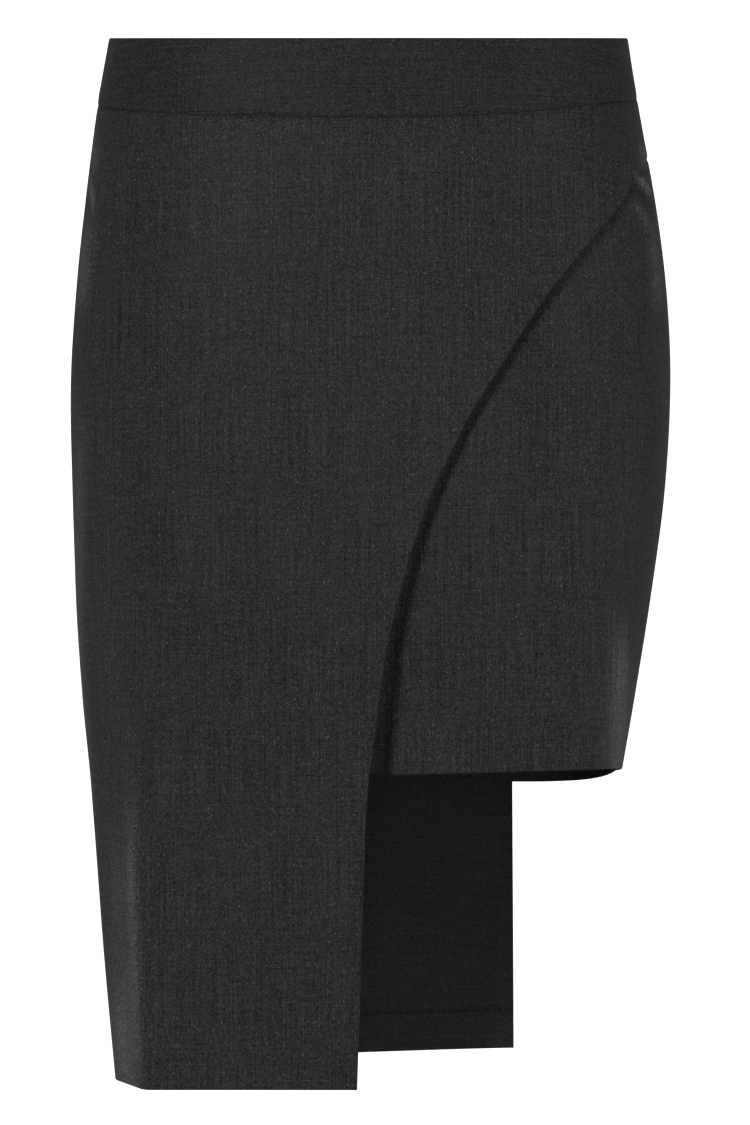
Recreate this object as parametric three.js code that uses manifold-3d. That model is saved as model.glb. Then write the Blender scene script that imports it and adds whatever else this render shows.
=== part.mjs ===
// Asymmetric mini skirt, worn and hollow: a waistband, a long overlay wrapped over a short underlay,
// a long and a short back panel, and a concealed zip in the side seam at the left of the front view.
// Millimetres, +Z up, +X to the right as seen from the front, +Y towards the back.
// Origin: middle of the waist opening, level with the top ends of the side seams.

import * as THREE from 'three';
import { mergeVertices } from 'three/addons/utils/BufferGeometryUtils.js';
import Module from 'manifold-3d';

// Cloth and seams
const CLOTH = 1.2; // wall of one panel
const BAND_WALL = 2.4; // the band is cut double
const SEAM_GAP = 0.3; // between pieces that are sewn together
const HEM_TURN_UP = 22; // depth of the cloth folded up inside a hem
const HEM_EXTRA = 1.0; // what that fold adds to the wall
const HEM_STEP = 0.8; // height over which the wall steps to its hem thickness

// Waist and hems
const FRONT_TILT = 0.12; // the top edge dips by this much per mm in front of the side seams
const BACK_TILT = 0.09; // and rises by this much behind them
const BAND_DEPTH_SIDE = 38.5;
const BAND_DEPTH_FRONT = 42.5;
const PANEL_TOP = -46; // mean height of the seam under the band
const LONG_HEM = -596.4;
const SHORT_HEM_FRONT = -418.2;
const SHORT_HEM_BACK = -432; // at the vertical seam; it rises to the front's level at the side
const LONG_HEM_BACK = -588; // at the free edge; it drops to the front's level at the left seam

// Seams
const SIDE_SEAM_Y = 24; // the side seams lie a little behind the widest points
const BACK_SEAM_WAIST_X = 72; // vertical back seam, at the waist
const BACK_SEAM_X = 85.5; // and from the hip down
const BACK_SEAM_HIP_Z = -170;
const SHORT_HEM_POWER = 1.4;

// Overlay on underlay
const LAYER_GAP_SIDE = 0.4; // between the two fronts along the left seam
const LAYER_GAP = 0.9; // and away from it
const LAYER_GAP_RUN = 0.2; // share of the girth over which it opens
const BLEND_START = 5; // from here past the overlay's edge the underlay comes out to the body form
const BLEND_END = 36;
const SLOPE_SPAN = 5; // height over which the edge's slope is read
const LIFT_POWER = 1.5; // how the overlay's stand-off grows towards its free edge
const GRID_TURN_X = -96; // left of this the columns of both fronts stand upright

// Zip
const ZIP_LENGTH = 196;
const TAPE_WIDTH = 11;
const TAPE_WALL = 0.8;
const TAPE_PARTING = 1.1; // half the gap between the two tapes
const TAPE_DEPTH = 3.5; // behind the band and the two fronts
const TAPE_DEPTH_BACK = 1.9; // behind the back panel, below the band
const NECK_RELIEF = 1.0; // the band's edges stand back this much further beside the slider's neck
const NECK_TOP = 5; // the relief's span below the band's top edge
const NECK_BOTTOM = 14;
const NECK_EASE = 2;
const SLIDER_DROP = 9.5; // slider's middle below the top edge
const NECK_WALL = 1.2;
const LUG_REACH = 1.7; // hinge axis of the pull, out from the cloth
const LUG_RADIUS = 1.8;
const LUG_HOLE = 1.05;
const LUG_SWEEP = 0.62 * Math.PI; // the lug's rounding to each side of straight out
const NECK_LENGTH = 5;
const NECK_ROOT = 1; // how far the neck runs into the slider's body
const SLIDER_LENGTH = 9;
const SLIDER_WIDTH = 7;
const SLIDER_DEPTH = 3.2;
const SLIDER_CLEARANCE = 0.4; // behind the tapes
const SLIDER_BEVEL_DEPTH = 0.6; // share of the depth at which its ends slope in
const SLIDER_BEVEL_TOP = 0.55; // share of the half length left flat above
const SLIDER_BEVEL_FOOT = 0.8; // and below
const PULL_LENGTH = 17;
const PULL_WIDTH = 5.6;
const PULL_TOP_WIDTH = 4.2;
const PULL_WALL = 1;
const PULL_BAR = 1.2;
const PULL_WINDOW = 4.6; // its foot, below the bar's middle
const PULL_WINDOW_WIDTH = 2.2;
const PULL_SHOULDER = 5.6; // from here the tab widens
const ROUND_SEGMENTS = 8;
const TAPE_TOP_DROP = 1.5;
const TAPE_EASE = 14; // run below the band over which the back tape comes out to the back panel

// The body form by level. left, right: half widths. front, back: depths. frontLeft, frontRight, backFlat:
// how far the flat of front and back reaches sideways. sideFront, sideBack: how far the flat of the sides
// reaches forward and back. turnLeft, turnRight: reach of the rounding where front turns into side.
const LEVELS = [
  { z: 24, left: 145, right: 144.5, front: 106, back: 103, frontLeft: 76, frontRight: 76,
    backFlat: 78, sideFront: 48, sideBack: 46, turnLeft: 80, turnRight: 80 },
  { z: 0, left: 149, right: 148, front: 108.5, back: 106, frontLeft: 78, frontRight: 78,
    backFlat: 80, sideFront: 50, sideBack: 48, turnLeft: 80, turnRight: 80 },
  { z: -40, left: 156, right: 154.3, front: 112, back: 111, frontLeft: 80, frontRight: 80,
    backFlat: 83, sideFront: 52, sideBack: 51, turnLeft: 80, turnRight: 80 },
  { z: -100, left: 163.6, right: 165, front: 117.5, back: 118.5, frontLeft: 84, frontRight: 84,
    backFlat: 88, sideFront: 56, sideBack: 56, turnLeft: 80, turnRight: 80 },
  { z: -150, left: 168.6, right: 171, front: 118.5, back: 123, frontLeft: 88, frontRight: 88,
    backFlat: 92, sideFront: 58, sideBack: 60, turnLeft: 80, turnRight: 80 },
  { z: -200, left: 171.4, right: 173, front: 117.5, back: 124, frontLeft: 93, frontRight: 94,
    backFlat: 95, sideFront: 57, sideBack: 61, turnLeft: 78, turnRight: 78 },
  { z: -260, left: 170.3, right: 169.8, front: 112.5, back: 121, frontLeft: 99, frontRight: 103,
    backFlat: 98, sideFront: 54, sideBack: 58, turnLeft: 72, turnRight: 68 },
  { z: -320, left: 168, right: 162, front: 104, back: 114, frontLeft: 107, frontRight: 115,
    backFlat: 101, sideFront: 48, sideBack: 54, turnLeft: 60, turnRight: 50 },
  { z: -380, left: 163.8, right: 152.4, front: 94, back: 104, frontLeft: 117, frontRight: 123,
    backFlat: 104, sideFront: 41, sideBack: 48, turnLeft: 40, turnRight: 32 },
  { z: -420, left: 160.2, right: 145.4, front: 87.5, back: 96, frontLeft: 123, frontRight: 126,
    backFlat: 106, sideFront: 36, sideBack: 44, turnLeft: 26, turnRight: 24 },
  { z: -470, left: 155.7, right: 138, front: 83, back: 88, frontLeft: 127.5, frontRight: 120,
    backFlat: 108, sideFront: 31, sideBack: 40, turnLeft: 16, turnRight: 24 },
  { z: -530, left: 150.8, right: 133, front: 77.5, back: 78, frontLeft: 128, frontRight: 116,
    backFlat: 110, sideFront: 26, sideBack: 36, turnLeft: 9, turnRight: 24 },
  { z: -600, left: 144.4, right: 128, front: 71, back: 69, frontLeft: 125.5, frontRight: 112,
    backFlat: 112, sideFront: 22, sideBack: 32, turnLeft: 5, turnRight: 24 },
];

// The overlay's free edge: its place across the front at each height, and how far the overlay stands
// off the underlay there. Above the first row it runs round the side, to end in the seam at WRAP_TOP.
const WRAP_EDGE = [
  { z: -84, x: 150.5, lift: 0.2 },
  { z: -102, x: 139.5, lift: 0.6 },
  { z: -128, x: 119.5, lift: 1.2 },
  { z: -157, x: 98, lift: 1.8 },
  { z: -190, x: 76.5, lift: 2.6 },
  { z: -223, x: 57, lift: 3.6 },
  { z: -278, x: 33, lift: 5.6 },
  { z: -345, x: 14.5, lift: 8.4 },
  { z: -389, x: 4.8, lift: 10.2 },
  { z: -434, x: -1, lift: 10.8 },
  { z: -490, x: -3.2, lift: 8.4 },
  { z: -546, x: -4.9, lift: 4.2 },
  { z: -600, x: -6.6, lift: 0.6 },
];

const WRAP_TOP = -56;
const WRAP_TOP_POWER = 1.25; // how the edge turns into its run round the side

// Fineness of the walls
const BAND_COLUMNS = 26;
const BAND_ROWS = [0, 0.07, 0.13, 0.24, 0.36, 0.42, 0.7, 1];
const FRONT_COLUMNS = 27;
const UPRIGHT_PART = 9 / 27; // share of the fronts' columns left of GRID_TURN_X
const ROW_STEP = 24; // height between rows
const FINE_ROW_STEP = 4.6; // and down to FINE_ROWS_END, where the overlay's edge runs flattest
const FINE_ROWS_END = -92;
const NEXT_ROWS_END = -140; // rows in between down to here
const NEXT_ROW_STEP = 12;
const ROW_EASE = 130; // run over which rows turn from the seam's line at the top, and into the hem's
const LONG_BACK_COLUMNS = 20;
const SHORT_BACK_COLUMNS = 9;
const TAPE_COLUMNS = 2;
const TAPE_ROWS = 14;
const SETTLE_PASSES = 6; // rounds in which a point's height and its place on the girth settle
const CORNER_TURN = 80; // reach of the rounding at the back and right corners
const SIDE_TURN = 1.6; // the side's turn at the left, against the front's
const SHARE_STEP = 0.004; // share of the girth over which a direction is read
const CORNER_SAMPLES = 14;
const LEVEL_STEP = 2; // height between the outlines that are worked out
const LEAST_SPAN = 1e-9; // guards a division where two points meet

// One column of a table, read between its rows by a smooth curve through them.
function tableValue(table, z, column) {
  const last = table.length - 1;
  if (z >= table[0].z) {
    return table[0][column];
  }
  if (z <= table[last].z) {
    return table[last][column];
  }
  let row = 0;
  while (table[row + 1].z > z) {
    row += 1;
  }
  const slope = (i) => {
    const before = table[Math.max(i - 1, 0)];
    const after = table[Math.min(i + 1, last)];
    return (after[column] - before[column]) / (after.z - before.z);
  };
  const upper = table[row];
  const lower = table[row + 1];
  const span = lower.z - upper.z;
  const t = (z - upper.z) / span;
  const bulge = t * (1 - t) * span;
  const straight = upper[column] * (1 - t) + lower[column] * t;
  const rise = (lower[column] - upper[column]) / span;
  return straight + bulge * ((1 - t) * (slope(row) - rise) - t * (slope(row + 1) - rise));
}

function smoothStep(from, to, value) {
  const t = THREE.MathUtils.clamp((value - from) / (to - from), 0, 1);
  return t * t * (3 - 2 * t);
}

// The eight corners of the form at one level, clockwise from above, starting at the left of the front.
function corners(z) {
  const at = (column) => tableValue(LEVELS, z, column);
  return [
    { x: -at('frontLeft'), y: -at('front'), turn: at('turnLeft') },
    { x: at('frontRight'), y: -at('front'), turn: at('turnRight') },
    { x: at('right'), y: -at('sideFront'), turn: CORNER_TURN },
    { x: at('right'), y: at('sideBack'), turn: CORNER_TURN },
    { x: at('backFlat'), y: at('back'), turn: CORNER_TURN },
    { x: -at('backFlat'), y: at('back'), turn: CORNER_TURN },
    { x: -at('left'), y: at('sideBack'), turn: CORNER_TURN },
    { x: -at('left'), y: -at('sideFront'), turn: at('turnLeft') * SIDE_TURN },
  ];
}

// The closed outline at one level: straight edges, with a parabola round each corner.
function outline(z) {
  const ring = corners(z);
  const points = [];
  ring.forEach((corner, i) => {
    const before = ring[(i + 7) % 8];
    const after = ring[(i + 1) % 8];
    const towards = (other) => {
      const distance = Math.hypot(other.x - corner.x, other.y - corner.y);
      const part = Math.min(corner.turn / distance, 0.5);
      return new THREE.Vector2(
        corner.x + (other.x - corner.x) * part,
        corner.y + (other.y - corner.y) * part,
      );
    };
    const curve = new THREE.QuadraticBezierCurve(
      towards(before), new THREE.Vector2(corner.x, corner.y), towards(after));
    points.push(...curve.getPoints(CORNER_SAMPLES));
  });
  return points;
}

// Cuts the outline at the side seams. Each face, front or back, runs from the left seam to the right one
// and is measured along its girth.
function measureFaces(z) {
  const ring = outline(z);
  const count = ring.length;
  const seams = {};
  ring.forEach((point, i) => {
    const next = ring[(i + 1) % count];
    if ((point.y < SIDE_SEAM_Y) !== (next.y < SIDE_SEAM_Y)) {
      const t = (SIDE_SEAM_Y - point.y) / (next.y - point.y);
      seams[point.x < 0 ? 'left' : 'right'] = { i, point: point.clone().lerp(next, t) };
    }
  });
  const walk = (start, end) => {
    const points = [start.point];
    for (let i = (start.i + 1) % count; i !== (end.i + 1) % count; i = (i + 1) % count) {
      points.push(ring[i]);
    }
    points.push(end.point);
    return points;
  };
  const measured = (points) => {
    const girth = [0];
    for (let i = 1; i < points.length; i += 1) {
      girth.push(girth[i - 1] + points[i].distanceTo(points[i - 1]));
    }
    return { points, girth, length: girth[girth.length - 1] };
  };
  return {
    front: measured(walk(seams.left, seams.right)),
    back: measured(walk(seams.right, seams.left).reverse()),
  };
}

const measuredLevels = new Map();

function faceAtLevel(face, level) {
  if (!measuredLevels.has(level)) {
    measuredLevels.set(level, measureFaces(level * LEVEL_STEP));
  }
  return measuredLevels.get(level)[face];
}

// Reads a measure of a face between the two worked-out levels round a height.
function betweenLevels(face, z, read, mix) {
  const level = Math.floor(z / LEVEL_STEP);
  const t = z / LEVEL_STEP - level;
  return mix(read(faceAtLevel(face, level)), read(faceAtLevel(face, level + 1)), t);
}

// The point of the form at a share s of a face's girth.
function formPoint(face, s, z) {
  const read = ({ points, girth, length }) => {
    const wanted = s * length;
    let i = 1;
    while (i < points.length - 1 && girth[i] < wanted) {
      i += 1;
    }
    const t = (wanted - girth[i - 1]) / Math.max(girth[i] - girth[i - 1], LEAST_SPAN);
    return points[i - 1].clone().lerp(points[i], THREE.MathUtils.clamp(t, 0, 1));
  };
  return betweenLevels(face, z, read, (low, high, t) => low.lerp(high, t));
}

function girthLength(face, z) {
  return betweenLevels(face, z, (measure) => measure.length, THREE.MathUtils.lerp);
}

// The share of a face's girth at which it passes x, counted from the left; 1 where it never does.
function shareAtX(face, z, x) {
  const read = ({ points, girth, length }) => {
    const i = points.findIndex((point, k) => k > 0 && points[k - 1].x <= x && point.x > x);
    if (i < 0) {
      return 1;
    }
    const t = (x - points[i - 1].x) / (points[i].x - points[i - 1].x);
    return THREE.MathUtils.lerp(girth[i - 1], girth[i], t) / length;
  };
  return betweenLevels(face, z, read, THREE.MathUtils.lerp);
}

// Outward direction in plan
function outward(face, s, z) {
  const before = formPoint(face, Math.max(s - SHARE_STEP, 0), z);
  const along = formPoint(face, Math.min(s + SHARE_STEP, 1), z).sub(before).normalize();
  return face === 'front' ? new THREE.Vector2(along.y, -along.x) : new THREE.Vector2(-along.y, along.x);
}

// A point of the cloth: moved in from the form by depth.
function clothPoint(face, s, z, depth) {
  const point = formPoint(face, s, z).addScaledVector(outward(face, s, z), -depth);
  return new THREE.Vector3(point.x, point.y, z);
}

// Waist edge and band seam, which dip at the front and rise at the back
function waistHeight(face, s) {
  const { y } = formPoint(face, s, 0);
  return y * (y < 0 ? FRONT_TILT : BACK_TILT);
}

function bandSeamHeight(face, s) {
  const { y } = formPoint(face, s, 0);
  const forward = Math.max(-y, 0) / tableValue(LEVELS, 0, 'front');
  return waistHeight(face, s) - THREE.MathUtils.lerp(BAND_DEPTH_SIDE, BAND_DEPTH_FRONT, forward);
}

// Half the gap at a seam, as a share of the girth
function seamShare(face, z) {
  return SEAM_GAP / 2 / girthLength(face, z);
}

// The band's edge at the zip. Beside the slider's neck it stands back from the seam.
function zipEdgeShare(face, z) {
  const down = waistHeight(face, 0) - z;
  const below = smoothStep(NECK_TOP - NECK_EASE, NECK_TOP, down);
  const above = 1 - smoothStep(NECK_BOTTOM, NECK_BOTTOM + NECK_EASE, down);
  return seamShare(face, z) + (NECK_RELIEF * below * above) / girthLength(face, z);
}

// Wrap
function wrapShare(z) {
  const onFront = shareAtX('front', z, tableValue(WRAP_EDGE, z, 'x'));
  const seam = 1 - seamShare('front', z);
  const roundSide = THREE.MathUtils.clamp((z - WRAP_EDGE[0].z) / (WRAP_TOP - WRAP_EDGE[0].z), 0, 1);
  return THREE.MathUtils.lerp(onFront, seam, roundSide ** WRAP_TOP_POWER);
}

function wrapGirth(z) {
  return wrapShare(z) * girthLength('front', z);
}

function overlayDepth(s, z) {
  const start = shareAtX('front', z, GRID_TURN_X);
  const part = THREE.MathUtils.clamp((s - start) / (wrapShare(z) - start), 0, 1);
  return -tableValue(WRAP_EDGE, z, 'lift') * part ** LIFT_POWER;
}

function underlayDepth(s, z) {
  const gap = THREE.MathUtils.lerp(LAYER_GAP_SIDE, LAYER_GAP, smoothStep(0, LAYER_GAP_RUN, s));
  const past = s * girthLength('front', z) - wrapGirth(z);
  const slope = (wrapGirth(z + SLOPE_SPAN) - wrapGirth(z - SLOPE_SPAN)) / (2 * SLOPE_SPAN);
  return (CLOTH + gap) * (1 - smoothStep(BLEND_START, BLEND_END, past / Math.hypot(1, slope)));
}

// Back seam and back hems
function backSeamShare(z) {
  const toWaist = smoothStep(BACK_SEAM_HIP_Z, 0, z);
  return shareAtX('back', z, THREE.MathUtils.lerp(BACK_SEAM_X, BACK_SEAM_WAIST_X, toWaist));
}

function longBackHem(s) {
  const part = Math.min(s / backSeamShare(LONG_HEM_BACK), 1);
  return THREE.MathUtils.lerp(LONG_HEM, LONG_HEM_BACK, part);
}

function shortBackHem(s) {
  const start = backSeamShare(SHORT_HEM_BACK);
  const part = THREE.MathUtils.clamp((s - start) / (1 - start), 0, 1);
  return THREE.MathUtils.lerp(SHORT_HEM_BACK, SHORT_HEM_FRONT, part ** SHORT_HEM_POWER);
}

// Joins an outer and an inner grid of points into one closed body with its faces pointing out.
function wallGeometry(outerGrid, innerGrid, across, down, onFront) {
  const index = [];
  const inner = outerGrid.length;
  const quad = (a, b, c, d) => {
    index.push(...(onFront ? [a, b, c, a, c, d] : [a, c, b, a, d, c]));
  };
  for (let j = 0; j < down - 1; j += 1) {
    for (let i = 0; i < across - 1; i += 1) {
      const a = j * across + i;
      const below = a + across;
      quad(a, below, below + 1, a + 1);
      quad(inner + a, inner + a + 1, inner + below + 1, inner + below);
    }
  }
  const rim = (path) => {
    for (let i = 1; i < path.length; i += 1) {
      quad(path[i - 1], path[i], inner + path[i], inner + path[i - 1]);
    }
  };
  const columns = Array.from({ length: across }, (_, i) => i);
  const rows = Array.from({ length: down }, (_, j) => j * across);
  rim(columns);
  rim(rows.map((start) => start + across - 1));
  rim(columns.map((i) => (down - 1) * across + i).reverse());
  rim([...rows].reverse());
  const positions = [...outerGrid, ...innerGrid].flatMap((point) => point.toArray());
  const geometry = new THREE.BufferGeometry();
  geometry.setAttribute('position', new THREE.Float32BufferAttribute(positions, 3));
  geometry.setIndex(index);
  geometry.computeVertexNormals();
  return geometry;
}

// Evenly spread values from 0 to 1
function spread(count) {
  return Array.from({ length: count + 1 }, (_, i) => i / count);
}

// Heights of rows from start to end, about a step apart
function rowHeights(start, end, step) {
  return spread(Math.round((start - end) / step)).map((t) => THREE.MathUtils.lerp(start, end, t));
}

// A closed wall over part of a face. share(c, z) places column c on the girth. Rows follow the top line at
// the top and the bottom line at the bottom, and stand level between. Above a hem the wall steps to the
// doubled cloth.
function panel({ face, columns, heights, share, top, bottom, depth, wall = CLOTH, hem = true }) {
  const first = heights[0];
  const last = heights[heights.length - 1];
  const hemTop = hem ? HEM_TURN_UP + HEM_STEP : 0;
  const ease = Math.min(ROW_EASE, (first - last) / 2);
  const rows = heights.map((height) => ({ fold: 0, at: (high, low) => height
    + (high - first) * smoothStep(first - ease, first, height)
    + (low + hemTop - last) * (1 - smoothStep(last, last + ease, height)) }));
  if (hem) {
    rows.push({ fold: HEM_EXTRA, at: (high, low) => low + HEM_TURN_UP });
    rows.push({ fold: HEM_EXTRA, at: (high, low) => low });
  }
  const grid = (inside) => rows.flatMap(({ fold, at }) => columns.map((c) => {
    let z = first;
    let s = c;
    for (let pass = 0; pass < SETTLE_PASSES; pass += 1) {
      z = at(top(s), bottom(s));
      s = share(c, z);
    }
    return clothPoint(face, s, z, depth(s, z) + (inside ? wall + fold : 0));
  }));
  return wallGeometry(grid(false), grid(true), columns.length, rows.length, face === 'front');
}

// Materials
function cloth(colour) {
  return new THREE.MeshStandardMaterial({ color: colour, roughness: 0.92, metalness: 0 });
}

const suiting = cloth(0x2d2d2f);
const bandSuiting = cloth(0x2a2a2b);
const tapeWeave = cloth(0x1b1b1c);
const zipEnamel = new THREE.MeshStandardMaterial({ color: 0x202022, roughness: 0.35, metalness: 0.6 });

function named(name, geometry, material) {
  const mesh = new THREE.Mesh(geometry, material);
  mesh.name = name;
  return mesh;
}

// Waistband: a front and a back half, each from the top edge to the seam on the panels
function waistband(face) {
  return panel({
    face,
    columns: spread(BAND_COLUMNS),
    heights: BAND_ROWS.map((row) => -row * BAND_DEPTH_SIDE),
    share: (c, z) => THREE.MathUtils.lerp(zipEdgeShare(face, z), 1 - seamShare(face, z), c),
    top: (s) => waistHeight(face, s),
    bottom: (s) => bandSeamHeight(face, s) + SEAM_GAP / 2,
    depth: () => 0,
    wall: BAND_WALL,
    hem: false,
  });
}

// Rows that the overlay and the underlay share, so that they lie on each other without crossing
const SHARED_ROWS_END = SHORT_HEM_FRONT + HEM_TURN_UP + HEM_STEP;
const sharedRows = [
  ...rowHeights(PANEL_TOP, FINE_ROWS_END, FINE_ROW_STEP),
  ...rowHeights(FINE_ROWS_END, NEXT_ROWS_END, NEXT_ROW_STEP).slice(1),
  ...rowHeights(NEXT_ROWS_END, SHARED_ROWS_END, ROW_STEP).slice(1),
];

const panelTop = (face) => (s) => bandSeamHeight(face, s) - SEAM_GAP / 2;

// Both fronts: upright columns beside the left seam, then columns fanned out to the panel's right edge
function frontShare(rightShare) {
  return (c, z) => {
    const turn = shareAtX('front', z, GRID_TURN_X);
    if (c < UPRIGHT_PART) {
      return THREE.MathUtils.lerp(seamShare('front', z), turn, c / UPRIGHT_PART);
    }
    return THREE.MathUtils.lerp(turn, rightShare(z), (c - UPRIGHT_PART) / (1 - UPRIGHT_PART));
  };
}

function frontOverlay() {
  return panel({
    face: 'front',
    columns: spread(FRONT_COLUMNS),
    heights: [...sharedRows, ...rowHeights(SHARED_ROWS_END, LONG_HEM + HEM_TURN_UP, ROW_STEP).slice(1)],
    share: frontShare(wrapShare),
    top: panelTop('front'),
    bottom: () => LONG_HEM,
    depth: overlayDepth,
  });
}

function frontUnderlay() {
  return panel({
    face: 'front',
    columns: spread(FRONT_COLUMNS),
    heights: sharedRows,
    share: frontShare((z) => 1 - seamShare('front', z)),
    top: panelTop('front'),
    bottom: () => SHORT_HEM_FRONT,
    depth: underlayDepth,
  });
}

function backLongPanel() {
  return panel({
    face: 'back',
    columns: spread(LONG_BACK_COLUMNS),
    heights: rowHeights(PANEL_TOP, LONG_HEM + HEM_TURN_UP, ROW_STEP),
    share: (c, z) => THREE.MathUtils.lerp(
      seamShare('back', z), backSeamShare(z) - seamShare('back', z), c),
    top: panelTop('back'),
    bottom: longBackHem,
    depth: () => 0,
  });
}

function backShortPanel() {
  return panel({
    face: 'back',
    columns: spread(SHORT_BACK_COLUMNS),
    heights: rowHeights(PANEL_TOP, SHORT_HEM_BACK + HEM_TURN_UP, ROW_STEP),
    share: (c, z) => THREE.MathUtils.lerp(
      backSeamShare(z) + seamShare('back', z), 1 - seamShare('back', z), c),
    top: panelTop('back'),
    bottom: shortBackHem,
    depth: () => 0,
  });
}

// Zip tape: a strip inside the side seam, against the panels on its own side of it
function zipTape(face) {
  const bandSeam = bandSeamHeight(face, 0);
  const below = face === 'front' ? TAPE_DEPTH : TAPE_DEPTH_BACK;
  return panel({
    face,
    columns: spread(TAPE_COLUMNS),
    heights: spread(TAPE_ROWS).map((row) => -row * ZIP_LENGTH),
    share: (c, z) => (TAPE_PARTING + c * TAPE_WIDTH) / girthLength(face, z),
    top: (s) => waistHeight(face, s) - TAPE_TOP_DROP,
    bottom: () => -ZIP_LENGTH,
    depth: (s, z) => THREE.MathUtils.lerp(below, TAPE_DEPTH, smoothStep(bandSeam - TAPE_EASE, bandSeam, z)),
    wall: TAPE_WALL,
    hem: false,
  });
}

// Slider and pull lie in a frame of their own on the seam: x out of the cloth, y along the girth, z up it.
function sliderFrame() {
  const middle = waistHeight('front', 0) - SLIDER_DROP;
  const at = (z) => clothPoint('front', 0, z, 0);
  const up = at(middle + SLIDER_DROP).sub(at(middle - SLIDER_DROP)).normalize();
  const plan = outward('front', 0, middle);
  const out = new THREE.Vector3(plan.x, plan.y, 0);
  out.addScaledVector(up, -out.dot(up)).normalize();
  const along = up.clone().cross(out);
  const frame = new THREE.Group();
  frame.position.copy(at(middle));
  frame.quaternion.setFromRotationMatrix(new THREE.Matrix4().makeBasis(out, along, up));
  return frame;
}

const wasm = await Module();
wasm.setup();

function toSolid(geometry) {
  const bare = geometry.clone();
  bare.deleteAttribute('normal');
  bare.deleteAttribute('uv');
  const merged = mergeVertices(bare);
  return new wasm.Manifold(new wasm.Mesh({
    numProp: 3,
    vertProperties: new Float32Array(merged.attributes.position.array),
    triVerts: new Uint32Array(merged.index.array),
  }));
}

function fromSolid(solid) {
  const mesh = solid.getMesh();
  const geometry = new THREE.BufferGeometry();
  geometry.setAttribute('position', new THREE.Float32BufferAttribute(mesh.vertProperties, 3));
  geometry.setIndex([...mesh.triVerts]);
  geometry.computeVertexNormals();
  return geometry;
}

// An extrusion of a shape drawn as x out, y up, centred on the seam
function standingPlate(shape, thickness) {
  const plate = new THREE.ExtrudeGeometry(shape, {
    depth: thickness, bevelEnabled: false, curveSegments: ROUND_SEGMENTS });
  plate.translate(0, 0, -thickness / 2);
  plate.rotateX(Math.PI / 2);
  return plate;
}

// Slider: a body behind the tapes, and a neck that comes out through the seam and ends in the lug
function sliderGeometry() {
  const body = new THREE.Shape();
  const inner = -TAPE_DEPTH - TAPE_WALL - SLIDER_CLEARANCE;
  const half = SLIDER_LENGTH / 2;
  body.moveTo(inner, -half);
  body.lineTo(inner, half);
  body.lineTo(inner - SLIDER_DEPTH * SLIDER_BEVEL_DEPTH, half);
  body.lineTo(inner - SLIDER_DEPTH, half * SLIDER_BEVEL_TOP);
  body.lineTo(inner - SLIDER_DEPTH, -half * SLIDER_BEVEL_FOOT);
  body.lineTo(inner - SLIDER_DEPTH * SLIDER_BEVEL_DEPTH, -half);
  body.closePath();
  const neck = new THREE.Shape();
  neck.moveTo(inner - NECK_ROOT, -NECK_LENGTH / 2);
  neck.lineTo(0, -NECK_LENGTH / 2);
  neck.absarc(LUG_REACH, 0, LUG_RADIUS, -LUG_SWEEP, LUG_SWEEP, false);
  neck.lineTo(0, NECK_LENGTH / 2);
  neck.lineTo(inner - NECK_ROOT, NECK_LENGTH / 2);
  neck.closePath();
  const hole = new THREE.Path();
  hole.absarc(LUG_REACH, 0, LUG_HOLE, 0, Math.PI * 2, true);
  neck.holes.push(hole);
  return fromSolid(toSolid(standingPlate(body, SLIDER_WIDTH)).add(toSolid(standingPlate(neck, NECK_WALL))));
}

// Pull tab: a slim drop-shaped plate that hangs from its top bar in the lug
function pullGeometry() {
  const plate = new THREE.Shape();
  const top = PULL_BAR / 2;
  plate.moveTo(-PULL_TOP_WIDTH / 2, top);
  plate.lineTo(-PULL_TOP_WIDTH / 2, -PULL_SHOULDER);
  plate.absarc(0, -PULL_LENGTH + PULL_WIDTH / 2, PULL_WIDTH / 2, Math.PI, Math.PI * 2, false);
  plate.lineTo(PULL_TOP_WIDTH / 2, -PULL_SHOULDER);
  plate.lineTo(PULL_TOP_WIDTH / 2, top);
  plate.closePath();
  const window = new THREE.Path();
  const side = PULL_WINDOW_WIDTH / 2;
  window.moveTo(-side, -top);
  window.lineTo(side, -top);
  window.lineTo(side, -PULL_WINDOW);
  window.lineTo(-side, -PULL_WINDOW);
  window.closePath();
  plate.holes.push(window);
  const geometry = new THREE.ExtrudeGeometry(plate, {
    depth: PULL_WALL, bevelEnabled: false, curveSegments: ROUND_SEGMENTS });
  geometry.translate(0, 0, -PULL_WALL / 2);
  geometry.rotateX(Math.PI / 2);
  geometry.rotateZ(Math.PI / 2);
  return geometry;
}

const skirt = new THREE.Group();
skirt.add(
  named('waistband_front', waistband('front'), bandSuiting),
  named('waistband_back', waistband('back'), bandSuiting),
  named('front_overlay', frontOverlay(), suiting),
  named('front_underlay', frontUnderlay(), suiting),
  named('back_long_panel', backLongPanel(), suiting),
  named('back_short_panel', backShortPanel(), suiting),
  named('zip_tape_front', zipTape('front'), tapeWeave),
  named('zip_tape_back', zipTape('back'), tapeWeave),
);

const zipFrame = sliderFrame();
const slider = named('zip_slider', sliderGeometry(), zipEnamel);
const pull = named('zip_pull', pullGeometry(), zipEnamel);
pull.position.x = LUG_REACH;
zipFrame.add(slider, pull);
skirt.add(zipFrame);

export default skirt;
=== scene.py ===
# Looks of the asymmetric mini skirt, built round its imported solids.
# Blender works in metres. The cutter's sizes are written in millimetres, in the frame of the solids:
# +Z up, +X to the right as seen from the front, +Y towards the back, origin in the middle of the waist.

import math

import bmesh
import bpy
import numpy as np
from mathutils import Matrix, Vector


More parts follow.
